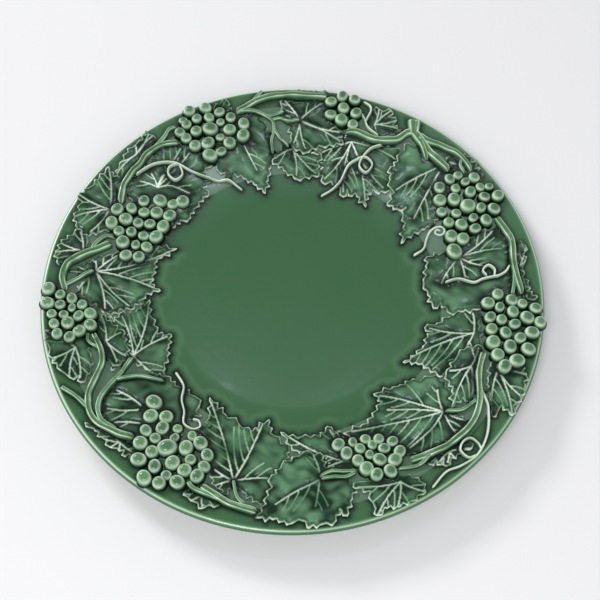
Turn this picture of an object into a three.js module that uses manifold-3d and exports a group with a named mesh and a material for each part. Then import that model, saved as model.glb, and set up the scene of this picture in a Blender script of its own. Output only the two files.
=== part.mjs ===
// Majolica plate with a moulded grapevine border
// Units are millimetres and +Z is up; the foot stands on z = 0 and the axis is x = y = 0.
import * as THREE from "three";
import { mergeVertices } from "three/addons/utils/BufferGeometryUtils.js";
import { ConvexGeometry } from "three/addons/geometries/ConvexGeometry.js";
import Module from "manifold-3d";

const wasm = await Module();
wasm.setup();

// Plate sizes
const PLATE_RADIUS = 140;
const DRAWN_RADIUS = 140; // plate radius the border layout below is drawn for
const WELL_RADIUS = 66; // flat floor of the well
const FLOOR_TOP = 9;
const FLOOR_THICKNESS = 5.5;
const RIM_RISE = 12; // rise of the upper face from the well to the edge
const RIM_CURVE = 1.5;
const LIP_THICKNESS = 4.6;
const FOOT_RADIUS = 78; // middle of the foot ring
const FOOT_WIDTH = 6;
const FOOT_EDGE = 0.7;
const TURNS = 60; // facets round the plate

// Relief sizes, all measured up from the plate's upper face
const SEAT_GAP = 0.3; // space kept between pieces
const RIDE_GAP = 0.25; // extra space under a stem or tendril that rides over a leaf
const LEAF_HEIGHT = 1.6;
const VEIN_RISE = 0.5;
const VEIN_BOW = 0.03; // sideways bow of a vein as a share of its length
const TOOTH_PITCH = 7;
const TOOTH_DEPTH = 0.6;
const STEM_HEIGHT = 2.9;
const STEM_STEP = 8; // length of one facet along a stem
const TENDRIL_WIDTH = 1.9;
const TENDRIL_HEIGHT = 1.6;
const TENDRIL_STEP = 3.8;
const MOUND_HEIGHT = 3.5; // bed that joins the grapes of a cluster
const GRAPE_FOOT = 1.2; // lowest part of a grape
const GRAPE_FLATTEN = 0.72; // height of a grape's dome as a share of its radius
const GRAPE_SWELL = 0.25; // added to the radius so that neighbours press together
const GRAPE_DROP = 0.8; // shift to the front, as the crowns stand above the level the layout was read at
const GRAPE_SIDES = 6; // facets round a grape

// Colours of the glaze
const GLAZE = { body: 0x466a4e, leaf: 0x35603f, stem: 0x8fb48a, tendril: 0xbcd8be, grape: 0x8db588 };

// Upper face of the plate, a bowl-shaped rise from the well to the edge
const spread = PLATE_RADIUS / DRAWN_RADIUS;
const riseAt = (r) => RIM_RISE * Math.max(0, (r - WELL_RADIUS) / (PLATE_RADIUS - WELL_RADIUS)) ** RIM_CURVE;
const groundAt = (x, y) => FLOOR_TOP + riseAt(Math.hypot(x, y));
const placed = (points) => points.map(([x, y, mark]) => [x * spread, y * spread, mark]);

// Solids and meshes
function solidOf(geometry) {
  const bare = new THREE.BufferGeometry();
  bare.setAttribute("position", geometry.attributes.position.clone());
  bare.setIndex(geometry.index ? geometry.index.clone() : null);
  const merged = mergeVertices(bare, 1e-4);
  const mesh = new wasm.Mesh({
    numProp: 3,
    vertProperties: new Float32Array(merged.attributes.position.array),
    triVerts: new Uint32Array(merged.index.array),
  });
  return new wasm.Manifold(mesh);
}

function closedSolid(vertices, triangles) {
  const geometry = new THREE.BufferGeometry();
  geometry.setAttribute("position", new THREE.Float32BufferAttribute(vertices.flat(), 3));
  geometry.setIndex(triangles.flat());
  return solidOf(geometry);
}

function geometryOf(solid) {
  const { vertProperties, triVerts } = solid.getMesh();
  const geometry = new THREE.BufferGeometry();
  geometry.setAttribute("position", new THREE.BufferAttribute(vertProperties, 3));
  geometry.setIndex(new THREE.BufferAttribute(triVerts, 1));
  geometry.computeVertexNormals();
  return geometry;
}

const group = new THREE.Group();
function addMesh(name, geometry, color) {
  const material = new THREE.MeshStandardMaterial({ color, roughness: 0.25 });
  const mesh = new THREE.Mesh(geometry, material);
  mesh.name = name;
  group.add(mesh);
}

// Plate body: one turned profile with foot ring, sloping underside, rounded lip and well
function plateProfile() {
  const footIn = FOOT_RADIUS - FOOT_WIDTH / 2;
  const footOut = FOOT_RADIUS + FOOT_WIDTH / 2;
  const under = FLOOR_TOP - FLOOR_THICKNESS;
  const lipMiddle = PLATE_RADIUS - LIP_THICKNESS / 2;
  const underAt = (r) => {
    const t = (r - footOut) / (lipMiddle - footOut);
    return FLOOR_TOP + riseAt(r) - THREE.MathUtils.lerp(FLOOR_THICKNESS, LIP_THICKNESS, t);
  };
  const points = [[0, under], [footIn - 2 * FOOT_EDGE, under], [footIn, under - 2 * FOOT_EDGE]];
  points.push([footIn, FOOT_EDGE], [footIn + FOOT_EDGE, 0], [footOut - FOOT_EDGE, 0], [footOut, FOOT_EDGE]);
  const slopeStart = footOut + 3 * FOOT_EDGE;
  points.push([footOut, underAt(slopeStart) - 2 * FOOT_EDGE]);
  for (let i = 0; i < 4; i += 1) {
    const r = THREE.MathUtils.lerp(slopeStart, lipMiddle, i / 4);
    points.push([r, underAt(r)]);
  }
  for (let i = 0; i <= 5; i += 1) {
    const turn = -Math.PI / 2 + (Math.PI * i) / 5;
    const z = FLOOR_TOP + riseAt(lipMiddle) - LIP_THICKNESS / 2;
    points.push([lipMiddle + Math.cos(turn) * LIP_THICKNESS / 2, z + Math.sin(turn) * LIP_THICKNESS / 2]);
  }
  for (let i = 1; i <= 7; i += 1) {
    const r = THREE.MathUtils.lerp(lipMiddle, WELL_RADIUS, i / 7);
    points.push([r, FLOOR_TOP + riseAt(r)]);
  }
  points.push([0, FLOOR_TOP]);
  return points.map(([r, z]) => new THREE.Vector2(r, z));
}
addMesh("plate_body", new THREE.LatheGeometry(plateProfile(), TURNS).rotateX(Math.PI / 2), GLAZE.body);

// Faces of a flat outline, counter-clockwise as seen from above
function flatFaces(outline) {
  const contour = outline.map(([x, y]) => new THREE.Vector2(x, y));
  return THREE.ShapeUtils.triangulateShape(contour, []);
}

// A block over an outline, from one height above the plate face to another
function reliefBlock(outline, bottom, top) {
  const n = outline.length;
  const vertices = [];
  const triangles = [];
  for (const height of [bottom, top]) {
    outline.forEach(([x, y]) => vertices.push([x, y, groundAt(x, y) + height]));
  }
  for (const [a, b, c] of flatFaces(outline)) {
    triangles.push([a + n, b + n, c + n], [a, c, b]);
  }
  for (let i = 0; i < n; i += 1) {
    const j = (i + 1) % n;
    triangles.push([i, j, j + n], [i, j + n, i + n]);
  }
  return closedSolid(vertices, triangles);
}

// Vine leaves: corners round the margin, those marked 1 are lobe tips with a vein from the base
function toothed(corners) {
  const margin = [];
  corners.forEach(([x, y, tip], i) => {
    const [nextX, nextY] = corners[(i + 1) % corners.length];
    const length = Math.hypot(nextX - x, nextY - y);
    const teeth = Math.round(length / TOOTH_PITCH);
    const across = [(nextY - y) / length, (x - nextX) / length];
    margin.push([x, y, tip]);
    for (let k = 0; k < teeth - 1; k += 1) {
      for (const [along, out] of [[k + 0.7, TOOTH_DEPTH], [k + 1, -TOOTH_DEPTH]]) {
        const t = along / teeth;
        margin.push([x + (nextX - x) * t + across[0] * out, y + (nextY - y) * t + across[1] * out]);
      }
    }
  });
  return margin;
}

function grown(outline, by) {
  return outline.map(([x, y], i) => {
    const before = outline[(i + outline.length - 1) % outline.length];
    const after = outline[(i + 1) % outline.length];
    const run = Math.hypot(after[0] - before[0], after[1] - before[1]);
    return [x + ((after[1] - before[1]) / run) * by, y - ((after[0] - before[0]) / run) * by];
  });
}

function leafSolid(base, margin, height) {
  const n = margin.length;
  const low = margin.map(([x, y]) => [x, y, groundAt(x, y) + SEAT_GAP]);
  const high = margin.map(([x, y]) => [x, y, groundAt(x, y) + height]);
  const vertices = [...low, ...high, [...base, groundAt(...base) + height + VEIN_RISE]];
  const triangles = flatFaces(margin).map(([a, b, c]) => [a, c, b]);
  const tips = margin.map((point, i) => (point[2] ? i : -1)).filter((i) => i >= 0);
  const ribs = tips.map((tip) => {
    const run = [margin[tip][0] - base[0], margin[tip][1] - base[1]];
    const x = base[0] + run[0] / 2 - run[1] * VEIN_BOW;
    const y = base[1] + run[1] / 2 + run[0] * VEIN_BOW;
    vertices.push([x, y, groundAt(x, y) + height + VEIN_RISE]);
    return vertices.length - 1;
  });
  tips.forEach((tip, k) => {
    const next = (k + 1) % tips.length;
    const edge = [2 * n, ribs[k]];
    for (let i = tip; i !== tips[next]; i = (i + 1) % n) edge.push(n + i);
    edge.push(n + tips[next], ribs[next]);
    const faces = flatFaces(edge.map((i) => vertices[i]));
    faces.forEach(([a, b, c]) => triangles.push([edge[a], edge[b], edge[c]]));
  });
  for (let i = 0; i < n; i += 1) {
    const j = (i + 1) % n;
    triangles.push([i, j, j + n], [i, j + n, i + n]);
  }
  return closedSolid(vertices, triangles);
}

// Leaves, the ones in front first: base, extra height, then the corners round the margin
const leaves = [
  { base: [4, 117], extra: 0.4, corners: [
    [-5, 129.6, 1], [-7, 126], [-5.5, 121], [0.5, 117.5], [-2.3, 112.7], [-1.2, 105.4], [0.2, 102.3, 1],
    [4, 98.3], [7.7, 98.3, 1], [15.8, 100.7], [21.7, 101.2], [28.7, 102.6, 1], [26, 105.5], [28.7, 109.3, 1],
    [20, 118.5], [18.5, 128.4, 1], [0.7, 129]] },
  { base: [0, 99.5], extra: 0, corners: [
    [-11, 92.3, 1], [-9.3, 89], [-4.5, 84.4], [2, 81, 1], [7, 80.6], [14.3, 82.6, 1], [14.7, 90.5],
    [15.3, 95, 1], [14, 101.5], [4, 103.5], [-3.5, 102.5], [-7.5, 98.5]] },
  { base: [-32, 108], extra: 0, corners: [
    [-36, 120], [-30, 121.5], [-23, 120, 1], [-16, 115], [-13.6, 104], [-12, 92.5, 1], [-14, 86],
    [-14.7, 81], [-17, 71.5, 1], [-21.7, 75], [-28, 79], [-34.6, 82], [-38, 79.3, 1], [-40.5, 82.5],
    [-44.5, 86.5, 1], [-46, 96], [-44, 112]] },
  { base: [84, 82.3], extra: 0.3, corners: [
    [86, 85.5], [80, 93], [70, 99, 1], [66, 96.5], [63.7, 94], [62, 89], [59, 84.5, 1], [57.2, 77.5],
    [57.3, 72], [59.3, 68.8], [56.6, 62.2, 1], [61, 57.8], [66, 58.4], [64.3, 54], [65, 48.7],
    [63.2, 37, 1], [70.3, 42], [75, 43.5], [82, 48, 1], [84, 52], [90, 62], [92, 74, 1], [90, 80]] },
  { base: [35, 103], extra: 0, corners: [
    [31, 108.5], [22.5, 101.5], [15.2, 95.3, 1], [16.3, 85.6], [18.2, 78.6, 1], [22.5, 77.5], [28, 73],
    [29.8, 69, 1], [32, 71.6], [35, 67.3], [36.8, 69.5], [42.4, 62, 1], [43.8, 68.4], [47.5, 71.3],
    [48.6, 69.5], [54.3, 71, 1], [56.7, 75.4], [58, 80], [62, 90, 1], [63, 98.5], [50, 102.5], [40, 107]] },
  { base: [95, 24], extra: 0, corners: [
    [87, 27.8], [78.6, 26, 1], [76, 18.7], [75.6, 11, 1], [76, 4], [79.7, -5.5, 1], [83, -4], [88, -9, 1],
    [92.4, -10], [104, -8, 1], [112, -3], [121, 0, 1], [122, 20], [121, 34, 1], [115, 41, 1], [104, 37],
    [96, 31]] },
  { base: [127, 14], extra: 0, corners: [
    [123, 30], [127, 31], [132.3, 27.8, 1], [130.3, 22], [131.2, 17.5, 1], [129.3, 14], [130.5, 10.7, 1],
    [129.3, 7.5], [131.5, 3.5], [131, -1], [136, -5.3], [130, -6, 1], [124, 0]] },
  { base: [97, -45], extra: 0.4, corners: [
    [101.8, -33.6, 1], [94, -34.2], [90.2, -37.5], [88.2, -40.8], [85.2, -47, 1], [84.4, -53.2],
    [86.3, -56.8], [86, -67.8, 1], [91.3, -64], [92.4, -66.4], [95.7, -65, 1], [98.5, -58], [99.5, -46],
    [103, -38]] },
  { base: [100, -24.5], extra: 0, corners: [
    [103, -18], [104.5, -12], [100, -9, 1], [96.8, -9.6], [86.3, -13], [79.2, -17.6], [75.3, -19.3, 1],
    [77.5, -22], [74.7, -25], [71.4, -32], [68, -35.8], [62.3, -39.4, 1], [67.6, -40.8], [74.2, -44.4],
    [81.4, -48.8, 1], [88, -44], [96, -36], [104, -31]] },
  { base: [80.5, -71.5], extra: 0, corners: [
    [78.6, -50.2, 1], [74.7, -49.6], [69, -52], [63.7, -51.8], [57.4, -54.6], [45.7, -59.6, 1],
    [48.2, -64.2], [45.3, -68.7], [43, -73], [40.2, -76.5], [28.8, -82, 1], [36, -88], [48, -93],
    [60.3, -93, 1], [63.3, -96], [72, -94.5], [80, -90], [86.5, -85.5, 1], [90.2, -81], [92.4, -77.5, 1],
    [88, -74.5], [83.5, -71], [84.7, -67.3], [85.5, -60]] },
  { base: [111, -48], extra: 0, corners: [
    [106.7, -45.8], [105, -54], [104.8, -66], [105.6, -74.5, 1], [109, -73.3], [111, -70], [115.8, -76.6, 1],
    [117.2, -71], [119.4, -69], [121.3, -65.3, 1], [123.8, -60.6], [125.7, -53, 1], [123.5, -47],
    [117, -42], [110, -43]] },
  { base: [56, -112], extra: 0, corners: [
    [66, -111.8], [68.2, -115.8], [68.7, -118.3, 1], [60.6, -123.4], [53.6, -126.3, 1], [47.2, -126.6],
    [43.4, -131, 1], [42.3, -126.6], [41.2, -123.4], [39, -120.7], [40, -117], [33.2, -114.2, 1],
    [35.3, -111], [49.8, -110.2], [58, -108.3], [62, -109.5]] },
  { base: [13.5, -110.5], extra: 1.2, corners: [
    [17, -102], [16, -97.5, 1], [11.9, -95.4], [6.8, -95.4, 1], [3.5, -96], [-0.8, -99], [-3.7, -101.8, 1],
    [-6.5, -103.6], [-9.2, -108.5, 1], [-10.5, -114.4], [-12.4, -119], [-13.5, -124], [-18.3, -132, 1],
    [-7.5, -132.4], [-3.7, -133.9], [0.3, -135], [3.5, -133], [6.8, -134], [7.6, -137.5, 1],
    [14.3, -136], [17.5, -135], [21.8, -134.7, 1], [24.5, -127.4], [28.3, -131, 1], [30.2, -122.8],
    [31.5, -114, 1], [27.8, -109.4], [17.5, -107.5]] },
  { base: [27, -99], extra: 0, corners: [
    [29, -103.5], [17, -103.7, 1], [10, -98], [3, -93], [-0.5, -90], [-4.5, -82.3, 1], [3, -85],
    [5.2, -84], [10, -84.6], [14.6, -84.3], [19.5, -79.8, 1], [22.4, -82.7], [27.2, -84, 1], [34, -87],
    [36, -98, 1]] },
  { base: [-30, -109], extra: 0, corners: [
    [-43.9, -63, 1], [-34.2, -73.2], [-32.3, -73], [-28.5, -76.2], [-26.4, -79], [-22.9, -78.6],
    [-21.5, -81], [-13.2, -75.6, 1], [-11.3, -82], [-8.9, -83.7], [-5.7, -88], [-2.7, -92.8, 1],
    [-3.2, -97.7], [-9, -108.5], [-16.7, -123.5, 1], [-26.9, -115.5], [-31, -112.5], [-33, -119],
    [-39.3, -114.4], [-41, -107.4, 1], [-44, -98], [-49, -88], [-49, -82, 1], [-47.4, -78.6],
    [-44.2, -78.3], [-45, -74.3], [-44.2, -70.8]] },
  { base: [-79, -73], extra: 0, corners: [
    [-101, -70, 1], [-100, -62], [-97, -56, 1], [-90, -52], [-82, -50.5, 1], [-67.7, -50.6, 1],
    [-63.4, -54.4], [-52.8, -62.2, 1], [-49.8, -67], [-51.4, -70], [-50.2, -72.3, 1], [-55.5, -75],
    [-60, -84, 1], [-75, -92], [-88, -85, 1], [-97, -80]] },
  { base: [-102, -30], extra: 0.5, corners: [
    [-105.4, -15, 1], [-102.7, -16.7], [-99.2, -19.4], [-94.3, -23.7, 1], [-92, -30], [-90.6, -32.3],
    [-90.8, -38.2, 1], [-95.4, -42.5, 1], [-100, -41.5], [-105, -36], [-107.5, -25]] },
  { base: [-87, -37.5], extra: 0, corners: [
    [-80.6, -3.5, 1], [-79.8, -10.8], [-78.2, -13], [-76.8, -17.8], [-74.8, -23], [-68.5, -24.2, 1],
    [-68.2, -29.6], [-68.5, -36.9], [-70, -46.3], [-72.3, -49.3, 1], [-78.5, -46.3], [-86.2, -41],
    [-92, -42.5], [-98, -47.5], [-99, -38], [-101, -24], [-105.4, -11.8, 1], [-99, -16.4],
    [-95.2, -12.7, 1], [-92, -12.4], [-88.2, -10.2]] },
  { base: [-118, -35], extra: 0, corners: [
    [-135.3, -26.4, 1], [-133, -34.2], [-131.5, -37.2], [-129.6, -43, 1], [-125.3, -49.5], [-122, -51.7],
    [-119.4, -53.8, 1], [-114.5, -52.2], [-113.7, -54.4, 1], [-110.2, -51.2], [-109, -46], [-109.2, -39.8],
    [-112, -31], [-118, -26], [-128, -24]] },
  { base: [-111, 13.8], extra: 0, corners: [
    [-68.4, 31.2, 1], [-77.5, 24.5], [-78.9, 17.8], [-79.7, 13.4], [-80.8, 8.5], [-76.4, 4.9, 1],
    [-82.5, 1.9], [-86, -2.7], [-90.6, -7, 1], [-96.2, -8.9], [-99.5, -11.3], [-104.3, -10, 1],
    [-116.2, -3.2], [-120, 0.2, 1], [-118.8, 4.6], [-114, 11.5], [-124.4, 12.3, 1], [-118.3, 17],
    [-111.7, 20.6, 1], [-103, 25.5], [-92, 30, 1], [-80, 33]] },
  { base: [-119, 26], extra: 0, corners: [
    [-117.2, 34.4], [-121.3, 38, 1], [-125.5, 35.5], [-128.5, 32.7], [-131.5, 29.4, 1], [-134, 23, 1],
    [-132.4, 16.2], [-130.4, 14.8, 1], [-125.5, 19], [-116, 24.5]] },
  { base: [-106, 54], extra: 0, corners: [
    [-108.4, 81.8, 1], [-113.6, 72.7], [-116, 69], [-119, 66.4], [-124.4, 62, 1], [-121.6, 57],
    [-123.3, 51.5], [-125.5, 46.8, 1], [-123.8, 40.7], [-116.6, 37.7, 1], [-111, 38.8], [-101, 44],
    [-99, 58], [-103.4, 71.3], [-100.4, 73.8], [-105, 75.7]] },
  { base: [-92.5, 91], extra: 0, corners: [
    [-88, 107.6], [-89.6, 101], [-91.5, 100.3], [-93.6, 97.2, 1], [-95.2, 95.5], [-97.8, 92],
    [-99.8, 87.5], [-102.2, 84.6, 1], [-102.5, 81], [-104, 76, 1], [-97.5, 76], [-91, 85], [-85.5, 95],
    [-80.8, 101.8], [-83, 104.2, 1], [-86, 105, 1]] },
  { base: [-79.5, 70.7], extra: 0, corners: [
    [-95, 65, 1], [-94, 72], [-90, 80, 1], [-84, 86], [-79, 95, 1], [-70, 98.5], [-64, 98, 1], [-56, 93, 1],
    [-52, 88], [-49.5, 86.5, 1], [-55, 81.5], [-49.7, 76.8, 1], [-53, 72.5], [-51.3, 68.2, 1], [-55, 63],
    [-58, 58], [-61.5, 53, 1], [-65.4, 50.4], [-69.8, 47, 1], [-80, 52], [-92, 58]] },
  { base: [49, 113.5], extra: 0, corners: [
    [47.8, 123.3], [52, 123.8, 1], [54.5, 122], [59.7, 122, 1], [57.8, 118], [62.6, 115.5, 1], [60, 112.5],
    [64.8, 109, 1], [58.8, 106.6], [51.8, 105.5, 1], [45.4, 109.8], [44.8, 116.8]] },
  { base: [11, 132.2], extra: 0, corners: [
    [0.5, 131], [1.8, 137, 1], [6, 135.2], [9.2, 137.2, 1], [11, 135.6], [13.6, 137, 1], [17, 135.4],
    [21, 136, 1], [23.5, 133.5], [20, 130.8], [10, 130.8]] },
  { base: [-45, 122.5], extra: 0, corners: [
    [-48, 124.5], [-44.3, 127.2], [-40.3, 130.6, 1], [-39.2, 129.2], [-40.5, 125.3], [-38.5, 122.6, 1],
    [-41, 119.5], [-46, 119], [-49, 121, 1]] },
  { base: [-46, -119], extra: 0, corners: [
    [-55.7, -119.5, 1], [-53.5, -120.5], [-51.7, -122.7, 1], [-48, -124], [-45.2, -127, 1], [-42, -125],
    [-39.6, -126.2, 1], [-36, -122], [-44, -115.5], [-52, -113]] },
  { base: [-90, -90.5], extra: 0, corners: [
    [-109, -79.8, 1], [-104, -83.5], [-99.6, -88.3, 1], [-97, -90], [-94.4, -94, 1], [-91, -94.3],
    [-90, -95.8, 1], [-87.5, -95], [-86.6, -98.9], [-84.5, -97], [-81.5, -104], [-79, -98, 1],
    [-82, -91], [-91, -88], [-101, -82]] },
  { base: [99, 82], extra: 0, corners: [
    [101.3, 91, 1], [103, 88.5], [109.3, 85.2, 1], [107.6, 82], [110, 80.3, 1], [108.8, 78], [110.8, 74, 1],
    [106, 71], [98, 72], [93, 77], [92, 86, 1], [94, 90], [98, 89]] },
  { base: [82, -95.5], extra: 0, corners: [
    [71.3, -102.6], [75, -100.3], [76.4, -101.6, 1], [78.8, -99.5], [80.3, -102.2, 1], [82.8, -99.2],
    [85.3, -100, 1], [86, -97.5], [93.9, -94.2, 1], [93, -90], [90, -88.5], [82, -92.5], [72, -98, 1]] },
];

// Grapes as x, y and diameter, cluster by cluster, clockwise from the upper left
const clusters = [
  [[-62.3, 121.3, 6.8], [-52.8, 123.9, 6.8], [-44.3, 121.6, 5.8], [-37.5, 118.5, 6], [-57.8, 116.8, 5.6],
    [-50.4, 117.8, 5.8], [-65.8, 114.8, 4.4], [-63.7, 112.5, 5.6], [-43.6, 115.2, 4.5], [-29.6, 114.7, 7],
    [-49.5, 110.5, 8.6], [-57.9, 108.7, 6.4], [-38, 110.7, 6.9], [-29.8, 107.1, 7.8], [-67.4, 107, 6],
    [-63.7, 103.7, 6], [-43.6, 105.5, 4.6], [-50.7, 101.3, 7.6], [-37.8, 102, 7.4], [-58.3, 99.2, 6.8],
    [-49.3, 93.4, 8.2], [-42.8, 96.2, 5.8]],
  [[23, 129.2, 6.3], [29.8, 132.4, 6.6], [37.2, 130, 6.4], [30.5, 124.8, 6.7], [22.7, 120.8, 6.3],
    [38, 121.3, 6.5], [29.1, 117.3, 7.5], [35.9, 113.9, 6.3]],
  [[91.9, 74.9, 5.9], [96.7, 76.8, 4.8], [105.9, 74.5, 6], [100.8, 72.3, 4.7], [85.8, 69.9, 6.6],
    [95, 68.6, 5.1], [109, 68, 4.8], [114, 67.7, 4.1], [103.3, 65.5, 6.3], [85.7, 61.8, 7.2],
    [93.8, 61.7, 7.4], [111.1, 61.5, 5.8], [118.6, 61.4, 6.5], [101.5, 56.7, 8.5], [108.8, 54.8, 5.6],
    [116, 53.2, 6.7], [86.4, 54.2, 5.6], [94.6, 52.6, 5.1], [104.1, 48.8, 5], [111.2, 46.5, 6.5],
    [90.1, 47.2, 5.8], [97.2, 45.1, 6.7], [104.8, 41.8, 6], [91.1, 38.1, 7.2], [97.6, 35.9, 7],
    [92.3, 28.2, 8.9]],
  [[114.4, -1.2, 6], [108.8, -6.2, 6.9], [114.9, -9.4, 5.2], [121.6, -5.7, 6.2], [127.1, -8.5, 5.1],
    [133.8, -12.2, 6], [109.3, -15.2, 6.1], [121.7, -13, 6.3], [115.3, -17.2, 5.5], [128.9, -17.6, 7.2],
    [122, -20.8, 5.8], [135.3, -21.1, 6], [109.5, -22.6, 6.2], [116.8, -25.7, 6.3], [130.5, -27, 7.1],
    [109.7, -30.9, 7.6], [124.1, -29.7, 6], [118.4, -34.5, 7.2], [127.7, -37, 7.1], [111.5, -38.9, 6.9],
    [121.2, -43.5, 7.8], [114.5, -46.4, 7.4]],
  [[24.4, -89.1, 6.5], [32, -87.8, 4.5], [38.7, -86.1, 5], [45.7, -86.2, 5.2], [52.8, -87.8, 5.4],
    [28.6, -94.3, 6.4], [35.7, -91.5, 5.1], [42.2, -89.6, 4.5], [48.3, -91.8, 5.6], [56.3, -94, 6.2],
    [34.5, -98.6, 5.9], [40.6, -95.3, 4.4], [45.8, -98.3, 6.6], [53.6, -98.7, 6.9], [38.8, -103.4, 7.2],
    [43.9, -107.1, 6.5], [51, -105.2, 6.6]],
  [[-73.8, -65.3, 8.2], [-75, -73.6, 7.3], [-66.9, -73.9, 7], [-68.4, -80.6, 7], [-76.9, -82.5, 6],
    [-60.5, -80.6, 4.5], [-71.7, -86.8, 5.4], [-61.8, -86.1, 4.5], [-52.6, -84.7, 4.8], [-79.2, -90, 7.2],
    [-48, -88.8, 7.3], [-65.3, -92.1, 9.6], [-55.5, -91.8, 7.5], [-72.9, -94.9, 6.5], [-44.2, -95.8, 6.6],
    [-79.4, -99.7, 7.4], [-61.9, -100.9, 7.5], [-52.8, -98.7, 5.5], [-70.9, -103.3, 6.7],
    [-45.5, -102.5, 5.9], [-55.5, -105, 6.9], [-64.6, -108.3, 5], [-48.9, -108.1, 7.1],
    [-75.7, -110.1, 7.5], [-68, -112.8, 6.5], [-58.8, -112, 7.3]],
  [[-135.2, 0, 7], [-128.7, -3, 5.3], [-122.3, -4.7, 5.8], [-135, -8.9, 6.8], [-116.6, -8, 5.2],
    [-128.2, -9.3, 5.3], [-121.8, -10.5, 4.1], [-111.7, -13.2, 6.6], [-132.1, -15.5, 4.9],
    [-125.8, -15.2, 4.6], [-117.9, -15.1, 5.5], [-130.3, -21.5, 5.3], [-123.2, -20.1, 6.8],
    [-111.1, -20.2, 6.6], [-116.7, -24.5, 6.4], [-128.1, -27.5, 5.7], [-121.4, -28.8, 6]],
  [[-86.7, 61.3, 6.4], [-77.4, 62.1, 7.6], [-69.9, 60.4, 6], [-64.4, 62.5, 7.6], [-101.5, 54.5, 7],
    [-93.5, 56, 6], [-86.3, 54, 5.8], [-79, 54.3, 7.1], [-71.5, 52.9, 7.1], [-104.2, 45.6, 7.2],
    [-96.4, 48.8, 7.3], [-89.2, 46.8, 5.8], [-82.6, 46.8, 5.8], [-75, 45.7, 7.2], [-99.8, 40.7, 5.8],
    [-92.8, 40.8, 5.8], [-85.8, 38.7, 5.4], [-78.7, 38.8, 7.4], [-97.2, 33.9, 7.5], [-89.9, 32.7, 5],
    [-83.6, 31.7, 6.2], [-95, 25.6, 6.4], [-87.7, 25.1, 6.5]],
];

// Stems as runs of a middle line with start and end width; the runs of one stem join
const stems = [
  [[[[-34, 121.3], [-23, 129.5], [-10, 133.6], [10, 132.3], [20.5, 131.8]], 4, 3.6],
    [[[-25, 128], [-21.5, 133], [-18.5, 136.5]], 3, 2.4],
    [[[-34, 121.3], [-28, 123.4], [-22.8, 123.2], [-12.5, 117.2], [-11.5, 111], [-12.8, 104], [-12.1, 96]], 2.6, 2],
    [[[-12, 114], [-8.2, 106.5], [-2.8, 100.5]], 2.2, 1.8],
    [[[-17.5, 120.2], [-10.4, 121], [-5.5, 122.6]], 2.2, 1.6],
    [[[-13, 117.8], [-7.7, 119], [-2.8, 116.2], [4, 117.1]], 2, 1.8]],
  [[[[31.4, 109.6], [36.8, 108.8], [49.7, 102.8], [61.5, 102.8], [68.5, 107], [72.3, 107.3]], 4, 5],
    [[[72.3, 105], [72.5, 110], [72.8, 115.8]], 6, 9.5],
    [[[72.3, 107.3], [75, 103], [84, 89], [91.5, 80.3]], 6.5, 4.4],
    [[[75.5, 103], [77.5, 95], [79, 88]], 4, 3],
    [[[75, 105], [80, 101], [88, 97], [96, 91], [101, 85], [104.5, 78.5]], 4.6, 2.6],
    [[[100, 87], [98.3, 83], [100.5, 77.5]], 2.2, 1.8]],
  [[[[117, 48], [124, 33], [124.5, 17], [125.3, 9.5], [127.4, -2.5]], 4.4, 3.6],
    [[[124.6, 15], [124, 6], [122.6, -2]], 2.6, 2.4]],
  [[[[104.5, -36.4], [100.7, -50], [100, -66], [95, -79], [80, -92.7], [61.5, -99.7]], 4, 4.4],
    [[[73, -96], [66, -102.5], [55, -104.3]], 2.6, 2],
    [[[98.7, -65], [90, -71], [81.5, -71.7]], 2.4, 1.8]],
  [[[[-46.5, -114.5], [-33, -123], [-18, -128]], 4.4, 5],
    [[[-53.5, -112], [-51, -115.5], [-46, -118], [-36, -122]], 3, 3],
    [[[-30.2, -110.5], [-28, -119.8], [-24.2, -124]], 1.8, 2.6]],
  [[[[-109.4, -25.3], [-104, -36.6], [-103.2, -42.5], [-108.6, -64.6], [-104.8, -77], [-91.3, -85.5],
    [-83, -87.5]], 3.6, 4.6],
    [[[-112, -24.8], [-112, -29.6], [-105.5, -35]], 2, 2],
    [[[-123.4, -59.5], [-115, -64.6], [-108, -71]], 2.6, 3],
    [[[-87.3, -39.5], [-94, -51], [-102.4, -66.8], [-101, -77], [-92, -84]], 2.6, 3.2],
    [[[-95, -53], [-89.8, -51.7], [-82.8, -50.3], [-69.6, -52.5]], 2.2, 1.8]],
  [[[[-103.7, 32.7], [-115.5, 25], [-126.6, 16.2], [-128.8, 8], [-126.6, 0.2]], 4.6, 4.4],
    [[[-102.3, 36.3], [-106.7, 36.9], [-112.8, 31], [-114.5, 25.5]], 2.2, 2.4],
    [[[-112, 13.7], [-120, 8.5], [-127.5, 3]], 1.8, 2.6]],
  [[[[-99.8, 58.6], [-98.5, 71.3], [-91.3, 83], [-83, 95], [-76.5, 99], [-68, 100.8]], 4.6, 3.4],
    [[[-82, 96.5], [-76.6, 103.8], [-74, 108.6], [-69.6, 110.9]], 3, 2.2]],
  [[[[14.5, -108.8], [20.2, -105.6], [26.5, -105], [33.7, -104.6]], 2, 2.4],
    [[[15.2, -109.9], [21.8, -108.9], [28, -108.2], [33.4, -105.4]], 2, 2.2]],
];

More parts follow.
